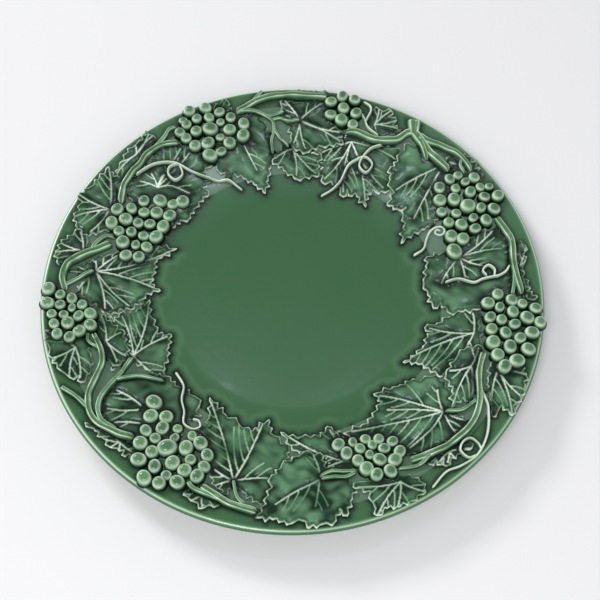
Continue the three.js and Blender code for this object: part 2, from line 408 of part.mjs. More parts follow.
// Tendrils as runs of a middle line; the curls are part of the run and cross it once
const tendrils = [
  [[[53, 99.6], [46.5, 97.5], [40.5, 90.5], [39.5, 86], [43.2, 82], [47.1, 87], [43.2, 92], [37.8, 91.3]],
    [[40.5, 91.8], [33.5, 87.8], [27, 75.4], [16.6, 68]]],
  [[[42.7, 129], [46.5, 125.5], [47, 122], [44, 116]],
    [[41, 122], [43.2, 117.4], [44.8, 111.5], [51, 105.5]]],
  [[[69.5, 27.5], [75.3, 31.6], [77, 37], [79.7, 42.7], [83.6, 45], [87, 44.3], [87.5, 41], [84.6, 39.6],
    [82.2, 41.4], [83.4, 43.2], [85.4, 42.4]]],
  [[[122.4, 16], [119.4, 11.8], [113.8, 9.8], [113.9, 14], [110.5, 17.2], [107.4, 14], [109.5, 10.6]],
    [[116, 10], [107.3, 8.8], [102.3, 7], [93.5, 10], [86.3, 8.5]]],
  [[[101.5, -58], [104, -71], [102.3, -86], [96, -98], [87, -104], [80, -106.7], [72, -115.7]],
    [[96, -98], [91.5, -99.4], [87.6, -95.5], [89.2, -90.6], [93.5, -88.2], [97, -91], [98.6, -95]]],
  [[[-63.7, -46], [-58.8, -55], [-59.3, -63.5], [-57.6, -71], [-57.4, -78], [-52.8, -80.5], [-49, -78.8],
    [-49.8, -75.6], [-53, -75]]],
  [[[-92, 77.4], [-82, 85], [-70, 86.8], [-59.4, 81.7], [-45.4, 77.4], [-37.8, 77.4], [-30, 72]],
    [[-68, 86.6], [-72.6, 84], [-73.5, 79.5], [-69.3, 75.8], [-65.2, 79.5], [-67, 85.5]]],
];

// Height of the leaf under a spot, looked up at the spot and on a small circle round it
const beds = [];
function inside(x, y, outline) {
  let odd = false;
  outline.forEach(([ax, ay], i) => {
    const [bx, by] = outline[(i + 1) % outline.length];
    if (ay > y !== by > y && x < ((bx - ax) * (y - ay)) / (by - ay) + ax) odd = !odd;
  });
  return odd;
}

function bedAt(x, y, reach) {
  const spots = [[x, y]];
  for (let turn = 0; turn < 8; turn += 1) {
    const angle = (turn * Math.PI) / 4;
    spots.push([x + reach * Math.cos(angle), y + reach * Math.sin(angle)]);
  }
  const under = beds.filter(({ outline }) => spots.some((spot) => inside(...spot, outline)));
  return Math.max(0, ...under.map(({ height }) => height));
}

// Runs swept over the plate face: the section is given across and up, the run rides over the leaves
const STEM_SECTION = [[1, 0], [0.85, 0.7], [0, 1], [-0.85, 0.7], [-1, 0]];
const TENDRIL_SECTION = [[1, 0], [0.6, 1], [-0.6, 1], [-1, 0]];

function runSolid(points, widths, height, section, step, grow) {
  const line = points.map(([x, y]) => new THREE.Vector3(x, y, 0));
  const route = new THREE.CatmullRomCurve3(line, false, "centripetal");
  const steps = Math.max(4, Math.round(route.getLength() / step));
  const spots = route.getSpacedPoints(steps);
  const bed = spots.map(({ x, y }) => bedAt(x, y, widths[0] / 2 + SEAT_GAP));
  const lift = bed.map((own, i) => Math.max(own, bed[i - 1] ?? own, bed[i + 1] ?? own));
  const vertices = [];
  const triangles = [];
  const ring = section.length;
  spots.forEach(({ x, y }, i) => {
    const along = route.getTangentAt(i / steps);
    const half = THREE.MathUtils.lerp(widths[0], widths[1], i / steps) / 2 + grow;
    section.forEach(([u, v]) => {
      const px = x - along.y * u * half;
      const py = y + along.x * u * half;
      const ride = lift[i] > 0 ? lift[i] + RIDE_GAP : 0;
      const up = ride + (v > 0 ? v * height + grow : SEAT_GAP - grow);
      vertices.push([px, py, groundAt(px, py) + up]);
    });
  });
  for (let k = 1; k < ring - 1; k += 1) {
    const end = steps * ring;
    triangles.push([0, k + 1, k], [end, end + k, end + k + 1]);
  }
  for (let i = 0; i < steps; i += 1) {
    for (let k = 0; k < ring; k += 1) {
      const a = i * ring + k;
      const b = i * ring + ((k + 1) % ring);
      triangles.push([a, b, a + ring], [b, b + ring, a + ring]);
    }
  }
  return closedSolid(vertices, triangles);
}

// Each piece keeps clear of earlier pieces on its own level; a sliver cut loose by them is left out
const leafLevel = [];
const vineLevel = [];
function clearOf(level, solid) {
  const box = solid.boundingBox();
  const near = level.filter(({ min, max }) => [0, 1].every((i) => min[i] < box.max[i] && max[i] > box.min[i]));
  return near.length ? solid.subtract(wasm.Manifold.union(near.map(({ room }) => room))) : solid;
}

function keepRoom(level, room) {
  const { min, max } = room.boundingBox();
  level.push({ room, min, max });
}

function lay(name, solid, color) {
  const parts = solid.decompose().sort((a, b) => b.volume() - a.volume());
  addMesh(name, geometryOf(parts[0]), color);
}

// A cluster: domed grapes joined by a bed in two overlapping halves that keeps clear of the leaves
function clusterSolid(drawn) {
  const grapes = drawn.map(([x, y, diameter]) => [x, y - GRAPE_DROP, diameter]);
  const half = Math.ceil(grapes.length / 2);
  const mounds = [grapes.slice(0, half + 2), grapes.slice(half - 2)].map((some) => {
    const corners = some.flatMap(([x, y]) => [SEAT_GAP, MOUND_HEIGHT].map((up) => [x, y, groundAt(x, y) + up]));
    return solidOf(new ConvexGeometry(corners.map((corner) => new THREE.Vector3(...corner))));
  });
  const domes = grapes.map(([x, y, diameter]) => {
    const r = diameter / 2 + GRAPE_SWELL;
    const foot = bedAt(x, y, r) + GRAPE_FOOT;
    const crown = MOUND_HEIGHT + r * GRAPE_FLATTEN;
    const shoulder = MOUND_HEIGHT + r * GRAPE_FLATTEN * 0.7;
    const profile = [[0, foot], [r, foot], [r * 0.74, shoulder], [0, crown]];
    const dome = new THREE.LatheGeometry(profile.map((point) => new THREE.Vector2(...point)), GRAPE_SIDES);
    return solidOf(dome.rotateX(Math.PI / 2).translate(x, y, groundAt(x, y)));
  });
  return wasm.Manifold.union([clearOf(leafLevel, wasm.Manifold.union(mounds)), ...domes]);
}

leaves.forEach(({ base, extra, corners }, i) => {
  const drawn = placed(corners);
  const clockwise = THREE.ShapeUtils.area(drawn.map(([x, y]) => new THREE.Vector2(x, y))) < 0;
  if (clockwise) drawn.reverse();
  const margin = toothed(drawn);
  const height = LEAF_HEIGHT + extra;
  const solid = leafSolid([base[0] * spread, base[1] * spread], margin, height);
  lay(`vine_leaf_${String(i + 1).padStart(2, "0")}`, clearOf(leafLevel, solid), GLAZE.leaf);
  keepRoom(leafLevel, reliefBlock(grown(margin, SEAT_GAP), -SEAT_GAP, height + VEIN_RISE + SEAT_GAP));
  beds.push({ outline: margin, height: height + VEIN_RISE });
});

function layRuns(name, runs, height, section, step, color) {
  const build = (grow) => wasm.Manifold.union(runs.map(([points, start, end]) => {
    return runSolid(placed(points), [start, end], height, section, step, grow);
  }));
  lay(name, clearOf(vineLevel, clearOf(leafLevel, build(0))), color);
  keepRoom(vineLevel, build(SEAT_GAP));
}

stems.forEach((runs, i) => {
  layRuns(`vine_stem_${i + 1}`, runs, STEM_HEIGHT, STEM_SECTION, STEM_STEP, GLAZE.stem);
});
tendrils.forEach((runs, i) => {
  const sized = runs.map((points) => [points, TENDRIL_WIDTH, TENDRIL_WIDTH * 0.8]);
  layRuns(`tendril_${i + 1}`, sized, TENDRIL_HEIGHT, TENDRIL_SECTION, TENDRIL_STEP, GLAZE.tendril);
});
clusters.forEach((grapes, i) => {
  const spots = grapes.map(([x, y, diameter]) => [x * spread, y * spread, diameter]);
  lay(`grape_cluster_${i + 1}`, clearOf(vineLevel, clusterSolid(spots)), GLAZE.grape);
});

export default group;
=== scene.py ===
# Majolica plate with a moulded grapevine border: the visual model, in the CAD model's frame
import math

import bpy
import numpy as np
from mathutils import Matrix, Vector, kdtree
from mathutils.geometry import delaunay_2d_cdt


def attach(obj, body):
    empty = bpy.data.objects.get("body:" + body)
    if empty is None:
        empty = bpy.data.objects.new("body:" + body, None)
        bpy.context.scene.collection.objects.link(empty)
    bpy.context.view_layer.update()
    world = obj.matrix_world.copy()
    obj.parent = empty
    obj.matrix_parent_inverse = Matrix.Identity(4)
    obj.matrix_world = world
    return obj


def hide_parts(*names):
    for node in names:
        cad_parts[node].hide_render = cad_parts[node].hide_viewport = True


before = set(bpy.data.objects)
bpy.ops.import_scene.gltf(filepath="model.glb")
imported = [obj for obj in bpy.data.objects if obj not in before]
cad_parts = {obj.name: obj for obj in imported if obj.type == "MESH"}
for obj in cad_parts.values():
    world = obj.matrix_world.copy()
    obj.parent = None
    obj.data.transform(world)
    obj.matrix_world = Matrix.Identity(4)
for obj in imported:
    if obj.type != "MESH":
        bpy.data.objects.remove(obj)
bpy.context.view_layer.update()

# Border layout in millimetres, as in the CAD model
# Leaves: base, extra height, corners round the margin; a third number marks a lobe tip with a vein
LEAVES = [
  ([4, 117], 0.4, [
    [-5, 129.6, 1], [-7, 126], [-5.5, 121], [0.5, 117.5], [-2.3, 112.7], [-1.2, 105.4], [0.2, 102.3, 1],
    [4, 98.3], [7.7, 98.3, 1], [15.8, 100.7], [21.7, 101.2], [28.7, 102.6, 1], [26, 105.5], [28.7, 109.3, 1],
    [20, 118.5], [18.5, 128.4, 1], [0.7, 129]]),
  ([0, 99.5], 0, [
    [-11, 92.3, 1], [-9.3, 89], [-4.5, 84.4], [2, 81, 1], [7, 80.6], [14.3, 82.6, 1], [14.7, 90.5],
    [15.3, 95, 1], [14, 101.5], [4, 103.5], [-3.5, 102.5], [-7.5, 98.5]]),
  ([-32, 108], 0, [
    [-36, 120], [-30, 121.5], [-23, 120, 1], [-16, 115], [-13.6, 104], [-12, 92.5, 1], [-14, 86],
    [-14.7, 81], [-17, 71.5, 1], [-21.7, 75], [-28, 79], [-34.6, 82], [-38, 79.3, 1], [-40.5, 82.5],
    [-44.5, 86.5, 1], [-46, 96], [-44, 112]]),
  ([84, 82.3], 0.3, [
    [86, 85.5], [80, 93], [70, 99, 1], [66, 96.5], [63.7, 94], [62, 89], [59, 84.5, 1], [57.2, 77.5],
    [57.3, 72], [59.3, 68.8], [56.6, 62.2, 1], [61, 57.8], [66, 58.4], [64.3, 54], [65, 48.7],
    [63.2, 37, 1], [70.3, 42], [75, 43.5], [82, 48, 1], [84, 52], [90, 62], [92, 74, 1], [90, 80]]),
  ([35, 103], 0, [
    [31, 108.5], [22.5, 101.5], [15.2, 95.3, 1], [16.3, 85.6], [18.2, 78.6, 1], [22.5, 77.5], [28, 73],
    [29.8, 69, 1], [32, 71.6], [35, 67.3], [36.8, 69.5], [42.4, 62, 1], [43.8, 68.4], [47.5, 71.3],
    [48.6, 69.5], [54.3, 71, 1], [56.7, 75.4], [58, 80], [62, 90, 1], [63, 98.5], [50, 102.5], [40, 107]]),
  ([95, 24], 0, [
    [87, 27.8], [78.6, 26, 1], [76, 18.7], [75.6, 11, 1], [76, 4], [79.7, -5.5, 1], [83, -4], [88, -9, 1],
    [92.4, -10], [104, -8, 1], [112, -3], [121, 0, 1], [122, 20], [121, 34, 1], [115, 41, 1], [104, 37],
    [96, 31]]),
  ([127, 14], 0, [
    [123, 30], [127, 31], [132.3, 27.8, 1], [130.3, 22], [131.2, 17.5, 1], [129.3, 14], [130.5, 10.7, 1],
    [129.3, 7.5], [131.5, 3.5], [131, -1], [136, -5.3], [130, -6, 1], [124, 0]]),
  ([97, -45], 0.4, [
    [101.8, -33.6, 1], [94, -34.2], [90.2, -37.5], [88.2, -40.8], [85.2, -47, 1], [84.4, -53.2],
    [86.3, -56.8], [86, -67.8, 1], [91.3, -64], [92.4, -66.4], [95.7, -65, 1], [98.5, -58], [99.5, -46],
    [103, -38]]),
  ([100, -24.5], 0, [
    [103, -18], [104.5, -12], [100, -9, 1], [96.8, -9.6], [86.3, -13], [79.2, -17.6], [75.3, -19.3, 1],
    [77.5, -22], [74.7, -25], [71.4, -32], [68, -35.8], [62.3, -39.4, 1], [67.6, -40.8], [74.2, -44.4],
    [81.4, -48.8, 1], [88, -44], [96, -36], [104, -31]]),
  ([80.5, -71.5], 0, [
    [78.6, -50.2, 1], [74.7, -49.6], [69, -52], [63.7, -51.8], [57.4, -54.6], [45.7, -59.6, 1],
    [48.2, -64.2], [45.3, -68.7], [43, -73], [40.2, -76.5], [28.8, -82, 1], [36, -88], [48, -93],
    [60.3, -93, 1], [63.3, -96], [72, -94.5], [80, -90], [86.5, -85.5, 1], [90.2, -81], [92.4, -77.5, 1],
    [88, -74.5], [83.5, -71], [84.7, -67.3], [85.5, -60]]),
  ([111, -48], 0, [
    [106.7, -45.8], [105, -54], [104.8, -66], [105.6, -74.5, 1], [109, -73.3], [111, -70], [115.8, -76.6, 1],
    [117.2, -71], [119.4, -69], [121.3, -65.3, 1], [123.8, -60.6], [125.7, -53, 1], [123.5, -47],
    [117, -42], [110, -43]]),
  ([56, -112], 0, [
    [66, -111.8], [68.2, -115.8], [68.7, -118.3, 1], [60.6, -123.4], [53.6, -126.3, 1], [47.2, -126.6],
    [43.4, -131, 1], [42.3, -126.6], [41.2, -123.4], [39, -120.7], [40, -117], [33.2, -114.2, 1],
    [35.3, -111], [49.8, -110.2], [58, -108.3], [62, -109.5]]),
  ([13.5, -110.5], 1.2, [
    [17, -102], [16, -97.5, 1], [11.9, -95.4], [6.8, -95.4, 1], [3.5, -96], [-0.8, -99], [-3.7, -101.8, 1],
    [-6.5, -103.6], [-9.2, -108.5, 1], [-10.5, -114.4], [-12.4, -119], [-13.5, -124], [-18.3, -132, 1],
    [-7.5, -132.4], [-3.7, -133.9], [0.3, -135], [3.5, -133], [6.8, -134], [7.6, -137.5, 1],
    [14.3, -136], [17.5, -135], [21.8, -134.7, 1], [24.5, -127.4], [28.3, -131, 1], [30.2, -122.8],
    [31.5, -114, 1], [27.8, -109.4], [17.5, -107.5]]),
  ([27, -99], 0, [
    [29, -103.5], [17, -103.7, 1], [10, -98], [3, -93], [-0.5, -90], [-4.5, -82.3, 1], [3, -85],
    [5.2, -84], [10, -84.6], [14.6, -84.3], [19.5, -79.8, 1], [22.4, -82.7], [27.2, -84, 1], [34, -87],
    [36, -98, 1]]),
  ([-30, -109], 0, [
    [-43.9, -63, 1], [-34.2, -73.2], [-32.3, -73], [-28.5, -76.2], [-26.4, -79], [-22.9, -78.6],
    [-21.5, -81], [-13.2, -75.6, 1], [-11.3, -82], [-8.9, -83.7], [-5.7, -88], [-2.7, -92.8, 1],
    [-3.2, -97.7], [-9, -108.5], [-16.7, -123.5, 1], [-26.9, -115.5], [-31, -112.5], [-33, -119],
    [-39.3, -114.4], [-41, -107.4, 1], [-44, -98], [-49, -88], [-49, -82, 1], [-47.4, -78.6],
    [-44.2, -78.3], [-45, -74.3], [-44.2, -70.8]]),
  ([-79, -73], 0, [
    [-101, -70, 1], [-100, -62], [-97, -56, 1], [-90, -52], [-82, -50.5, 1], [-67.7, -50.6, 1],
    [-63.4, -54.4], [-52.8, -62.2, 1], [-49.8, -67], [-51.4, -70], [-50.2, -72.3, 1], [-55.5, -75],
    [-60, -84, 1], [-75, -92], [-88, -85, 1], [-97, -80]]),
  ([-102, -30], 0.5, [
    [-105.4, -15, 1], [-102.7, -16.7], [-99.2, -19.4], [-94.3, -23.7, 1], [-92, -30], [-90.6, -32.3],
    [-90.8, -38.2, 1], [-95.4, -42.5, 1], [-100, -41.5], [-105, -36], [-107.5, -25]]),
  ([-87, -37.5], 0, [
    [-80.6, -3.5, 1], [-79.8, -10.8], [-78.2, -13], [-76.8, -17.8], [-74.8, -23], [-68.5, -24.2, 1],
    [-68.2, -29.6], [-68.5, -36.9], [-70, -46.3], [-72.3, -49.3, 1], [-78.5, -46.3], [-86.2, -41],
    [-92, -42.5], [-98, -47.5], [-99, -38], [-101, -24], [-105.4, -11.8, 1], [-99, -16.4],
    [-95.2, -12.7, 1], [-92, -12.4], [-88.2, -10.2]]),
  ([-118, -35], 0, [
    [-135.3, -26.4, 1], [-133, -34.2], [-131.5, -37.2], [-129.6, -43, 1], [-125.3, -49.5], [-122, -51.7],
    [-119.4, -53.8, 1], [-114.5, -52.2], [-113.7, -54.4, 1], [-110.2, -51.2], [-109, -46], [-109.2, -39.8],
    [-112, -31], [-118, -26], [-128, -24]]),
  ([-111, 13.8], 0, [
    [-68.4, 31.2, 1], [-77.5, 24.5], [-78.9, 17.8], [-79.7, 13.4], [-80.8, 8.5], [-76.4, 4.9, 1],
    [-82.5, 1.9], [-86, -2.7], [-90.6, -7, 1], [-96.2, -8.9], [-99.5, -11.3], [-104.3, -10, 1],
    [-116.2, -3.2], [-120, 0.2, 1], [-118.8, 4.6], [-114, 11.5], [-124.4, 12.3, 1], [-118.3, 17],
    [-111.7, 20.6, 1], [-103, 25.5], [-92, 30, 1], [-80, 33]]),
  ([-119, 26], 0, [
    [-117.2, 34.4], [-121.3, 38, 1], [-125.5, 35.5], [-128.5, 32.7], [-131.5, 29.4, 1], [-134, 23, 1],
    [-132.4, 16.2], [-130.4, 14.8, 1], [-125.5, 19], [-116, 24.5]]),
  ([-106, 54], 0, [
    [-108.4, 81.8, 1], [-113.6, 72.7], [-116, 69], [-119, 66.4], [-124.4, 62, 1], [-121.6, 57],
    [-123.3, 51.5], [-125.5, 46.8, 1], [-123.8, 40.7], [-116.6, 37.7, 1], [-111, 38.8], [-101, 44],
    [-99, 58], [-103.4, 71.3], [-100.4, 73.8], [-105, 75.7]]),
  ([-92.5, 91], 0, [
    [-88, 107.6], [-89.6, 101], [-91.5, 100.3], [-93.6, 97.2, 1], [-95.2, 95.5], [-97.8, 92],
    [-99.8, 87.5], [-102.2, 84.6, 1], [-102.5, 81], [-104, 76, 1], [-97.5, 76], [-91, 85], [-85.5, 95],
    [-80.8, 101.8], [-83, 104.2, 1], [-86, 105, 1]]),
  ([-79.5, 70.7], 0, [
    [-95, 65, 1], [-94, 72], [-90, 80, 1], [-84, 86], [-79, 95, 1], [-70, 98.5], [-64, 98, 1], [-56, 93, 1],
    [-52, 88], [-49.5, 86.5, 1], [-55, 81.5], [-49.7, 76.8, 1], [-53, 72.5], [-51.3, 68.2, 1], [-55, 63],
    [-58, 58], [-61.5, 53, 1], [-65.4, 50.4], [-69.8, 47, 1], [-80, 52], [-92, 58]]),
  ([49, 113.5], 0, [
    [47.8, 123.3], [52, 123.8, 1], [54.5, 122], [59.7, 122, 1], [57.8, 118], [62.6, 115.5, 1], [60, 112.5],
    [64.8, 109, 1], [58.8, 106.6], [51.8, 105.5, 1], [45.4, 109.8], [44.8, 116.8]]),
  ([11, 132.2], 0, [
    [0.5, 131], [1.8, 137, 1], [6, 135.2], [9.2, 137.2, 1], [11, 135.6], [13.6, 137, 1], [17, 135.4],
    [21, 136, 1], [23.5, 133.5], [20, 130.8], [10, 130.8]]),
  ([-45, 122.5], 0, [
    [-48, 124.5], [-44.3, 127.2], [-40.3, 130.6, 1], [-39.2, 129.2], [-40.5, 125.3], [-38.5, 122.6, 1],
    [-41, 119.5], [-46, 119], [-49, 121, 1]]),
  ([-46, -119], 0, [
    [-55.7, -119.5, 1], [-53.5, -120.5], [-51.7, -122.7, 1], [-48, -124], [-45.2, -127, 1], [-42, -125],
    [-39.6, -126.2, 1], [-36, -122], [-44, -115.5], [-52, -113]]),
  ([-90, -90.5], 0, [
    [-109, -79.8, 1], [-104, -83.5], [-99.6, -88.3, 1], [-97, -90], [-94.4, -94, 1], [-91, -94.3],
    [-90, -95.8, 1], [-87.5, -95], [-86.6, -98.9], [-84.5, -97], [-81.5, -104], [-79, -98, 1],
    [-82, -91], [-91, -88], [-101, -82]]),
  ([99, 82], 0, [
    [101.3, 91, 1], [103, 88.5], [109.3, 85.2, 1], [107.6, 82], [110, 80.3, 1], [108.8, 78], [110.8, 74, 1],
    [106, 71], [98, 72], [93, 77], [92, 86, 1], [94, 90], [98, 89]]),
  ([82, -95.5], 0, [
    [71.3, -102.6], [75, -100.3], [76.4, -101.6, 1], [78.8, -99.5], [80.3, -102.2, 1], [82.8, -99.2],
    [85.3, -100, 1], [86, -97.5], [93.9, -94.2, 1], [93, -90], [90, -88.5], [82, -92.5], [72, -98, 1]]),
]
# Grapes: x, y and diameter
CLUSTERS = [
  [[-62.3, 121.3, 6.8], [-52.8, 123.9, 6.8], [-44.3, 121.6, 5.8], [-37.5, 118.5, 6], [-57.8, 116.8, 5.6],
    [-50.4, 117.8, 5.8], [-65.8, 114.8, 4.4], [-63.7, 112.5, 5.6], [-43.6, 115.2, 4.5], [-29.6, 114.7, 7],
    [-49.5, 110.5, 8.6], [-57.9, 108.7, 6.4], [-38, 110.7, 6.9], [-29.8, 107.1, 7.8], [-67.4, 107, 6],
    [-63.7, 103.7, 6], [-43.6, 105.5, 4.6], [-50.7, 101.3, 7.6], [-37.8, 102, 7.4], [-58.3, 99.2, 6.8],
    [-49.3, 93.4, 8.2], [-42.8, 96.2, 5.8]],
  [[23, 129.2, 6.3], [29.8, 132.4, 6.6], [37.2, 130, 6.4], [30.5, 124.8, 6.7], [22.7, 120.8, 6.3],
    [38, 121.3, 6.5], [29.1, 117.3, 7.5], [35.9, 113.9, 6.3]],
  [[91.9, 74.9, 5.9], [96.7, 76.8, 4.8], [105.9, 74.5, 6], [100.8, 72.3, 4.7], [85.8, 69.9, 6.6],
    [95, 68.6, 5.1], [109, 68, 4.8], [114, 67.7, 4.1], [103.3, 65.5, 6.3], [85.7, 61.8, 7.2],
    [93.8, 61.7, 7.4], [111.1, 61.5, 5.8], [118.6, 61.4, 6.5], [101.5, 56.7, 8.5], [108.8, 54.8, 5.6],
    [116, 53.2, 6.7], [86.4, 54.2, 5.6], [94.6, 52.6, 5.1], [104.1, 48.8, 5], [111.2, 46.5, 6.5],
    [90.1, 47.2, 5.8], [97.2, 45.1, 6.7], [104.8, 41.8, 6], [91.1, 38.1, 7.2], [97.6, 35.9, 7],
    [92.3, 28.2, 8.9]],
  [[114.4, -1.2, 6], [108.8, -6.2, 6.9], [114.9, -9.4, 5.2], [121.6, -5.7, 6.2], [127.1, -8.5, 5.1],
    [133.8, -12.2, 6], [109.3, -15.2, 6.1], [121.7, -13, 6.3], [115.3, -17.2, 5.5], [128.9, -17.6, 7.2],
    [122, -20.8, 5.8], [135.3, -21.1, 6], [109.5, -22.6, 6.2], [116.8, -25.7, 6.3], [130.5, -27, 7.1],
    [109.7, -30.9, 7.6], [124.1, -29.7, 6], [118.4, -34.5, 7.2], [127.7, -37, 7.1], [111.5, -38.9, 6.9],
    [121.2, -43.5, 7.8], [114.5, -46.4, 7.4]],
  [[24.4, -89.1, 6.5], [32, -87.8, 4.5], [38.7, -86.1, 5], [45.7, -86.2, 5.2], [52.8, -87.8, 5.4],
    [28.6, -94.3, 6.4], [35.7, -91.5, 5.1], [42.2, -89.6, 4.5], [48.3, -91.8, 5.6], [56.3, -94, 6.2],
    [34.5, -98.6, 5.9], [40.6, -95.3, 4.4], [45.8, -98.3, 6.6], [53.6, -98.7, 6.9], [38.8, -103.4, 7.2],
    [43.9, -107.1, 6.5], [51, -105.2, 6.6]],
  [[-73.8, -65.3, 8.2], [-75, -73.6, 7.3], [-66.9, -73.9, 7], [-68.4, -80.6, 7], [-76.9, -82.5, 6],
    [-60.5, -80.6, 4.5], [-71.7, -86.8, 5.4], [-61.8, -86.1, 4.5], [-52.6, -84.7, 4.8], [-79.2, -90, 7.2],
    [-48, -88.8, 7.3], [-65.3, -92.1, 9.6], [-55.5, -91.8, 7.5], [-72.9, -94.9, 6.5], [-44.2, -95.8, 6.6],
    [-79.4, -99.7, 7.4], [-61.9, -100.9, 7.5], [-52.8, -98.7, 5.5], [-70.9, -103.3, 6.7],
    [-45.5, -102.5, 5.9], [-55.5, -105, 6.9], [-64.6, -108.3, 5], [-48.9, -108.1, 7.1],
    [-75.7, -110.1, 7.5], [-68, -112.8, 6.5], [-58.8, -112, 7.3]],
  [[-135.2, 0, 7], [-128.7, -3, 5.3], [-122.3, -4.7, 5.8], [-135, -8.9, 6.8], [-116.6, -8, 5.2],
    [-128.2, -9.3, 5.3], [-121.8, -10.5, 4.1], [-111.7, -13.2, 6.6], [-132.1, -15.5, 4.9],
    [-125.8, -15.2, 4.6], [-117.9, -15.1, 5.5], [-130.3, -21.5, 5.3], [-123.2, -20.1, 6.8],
    [-111.1, -20.2, 6.6], [-116.7, -24.5, 6.4], [-128.1, -27.5, 5.7], [-121.4, -28.8, 6]],
  [[-86.7, 61.3, 6.4], [-77.4, 62.1, 7.6], [-69.9, 60.4, 6], [-64.4, 62.5, 7.6], [-101.5, 54.5, 7],
    [-93.5, 56, 6], [-86.3, 54, 5.8], [-79, 54.3, 7.1], [-71.5, 52.9, 7.1], [-104.2, 45.6, 7.2],
    [-96.4, 48.8, 7.3], [-89.2, 46.8, 5.8], [-82.6, 46.8, 5.8], [-75, 45.7, 7.2], [-99.8, 40.7, 5.8],
    [-92.8, 40.8, 5.8], [-85.8, 38.7, 5.4], [-78.7, 38.8, 7.4], [-97.2, 33.9, 7.5], [-89.9, 32.7, 5],
    [-83.6, 31.7, 6.2], [-95, 25.6, 6.4], [-87.7, 25.1, 6.5]],
]
# Stems: runs of a middle line with start and end width
STEMS = [
  [[[[-34, 121.3], [-23, 129.5], [-10, 133.6], [10, 132.3], [20.5, 131.8]], 4, 3.6],
    [[[-25, 128], [-21.5, 133], [-18.5, 136.5]], 3, 2.4],
    [[[-34, 121.3], [-28, 123.4], [-22.8, 123.2], [-12.5, 117.2], [-11.5, 111], [-12.8, 104],
      [-12.1, 96]], 2.6, 2],
    [[[-12, 114], [-8.2, 106.5], [-2.8, 100.5]], 2.2, 1.8],
    [[[-17.5, 120.2], [-10.4, 121], [-5.5, 122.6]], 2.2, 1.6],
    [[[-13, 117.8], [-7.7, 119], [-2.8, 116.2], [4, 117.1]], 2, 1.8]],
  [[[[31.4, 109.6], [36.8, 108.8], [49.7, 102.8], [61.5, 102.8], [68.5, 107], [72.3, 107.3]], 4, 5],
    [[[72.3, 105], [72.5, 110], [72.8, 115.8]], 6, 9.5],
    [[[72.3, 107.3], [75, 103], [84, 89], [91.5, 80.3]], 6.5, 4.4],
    [[[75.5, 103], [77.5, 95], [79, 88]], 4, 3],
    [[[75, 105], [80, 101], [88, 97], [96, 91], [101, 85], [104.5, 78.5]], 4.6, 2.6],
    [[[100, 87], [98.3, 83], [100.5, 77.5]], 2.2, 1.8]],
  [[[[117, 48], [124, 33], [124.5, 17], [125.3, 9.5], [127.4, -2.5]], 4.4, 3.6],
    [[[124.6, 15], [124, 6], [122.6, -2]], 2.6, 2.4]],
  [[[[104.5, -36.4], [100.7, -50], [100, -66], [95, -79], [80, -92.7], [61.5, -99.7]], 4, 4.4],
    [[[73, -96], [66, -102.5], [55, -104.3]], 2.6, 2],
    [[[98.7, -65], [90, -71], [81.5, -71.7]], 2.4, 1.8]],
  [[[[-46.5, -114.5], [-33, -123], [-18, -128]], 4.4, 5],
    [[[-53.5, -112], [-51, -115.5], [-46, -118], [-36, -122]], 3, 3],
    [[[-30.2, -110.5], [-28, -119.8], [-24.2, -124]], 1.8, 2.6]],
  [[[[-109.4, -25.3], [-104, -36.6], [-103.2, -42.5], [-108.6, -64.6], [-104.8, -77], [-91.3, -85.5],
    [-83, -87.5]], 3.6, 4.6],
    [[[-112, -24.8], [-112, -29.6], [-105.5, -35]], 2, 2],
    [[[-123.4, -59.5], [-115, -64.6], [-108, -71]], 2.6, 3],
    [[[-87.3, -39.5], [-94, -51], [-102.4, -66.8], [-101, -77], [-92, -84]], 2.6, 3.2],
    [[[-95, -53], [-89.8, -51.7], [-82.8, -50.3], [-69.6, -52.5]], 2.2, 1.8]],
  [[[[-103.7, 32.7], [-115.5, 25], [-126.6, 16.2], [-128.8, 8], [-126.6, 0.2]], 4.6, 4.4],
    [[[-102.3, 36.3], [-106.7, 36.9], [-112.8, 31], [-114.5, 25.5]], 2.2, 2.4],
    [[[-112, 13.7], [-120, 8.5], [-127.5, 3]], 1.8, 2.6]],
  [[[[-99.8, 58.6], [-98.5, 71.3], [-91.3, 83], [-83, 95], [-76.5, 99], [-68, 100.8]], 4.6, 3.4],
    [[[-82, 96.5], [-76.6, 103.8], [-74, 108.6], [-69.6, 110.9]], 3, 2.2]],
  [[[[14.5, -108.8], [20.2, -105.6], [26.5, -105], [33.7, -104.6]], 2, 2.4],
    [[[15.2, -109.9], [21.8, -108.9], [28, -108.2], [33.4, -105.4]], 2, 2.2]],
]
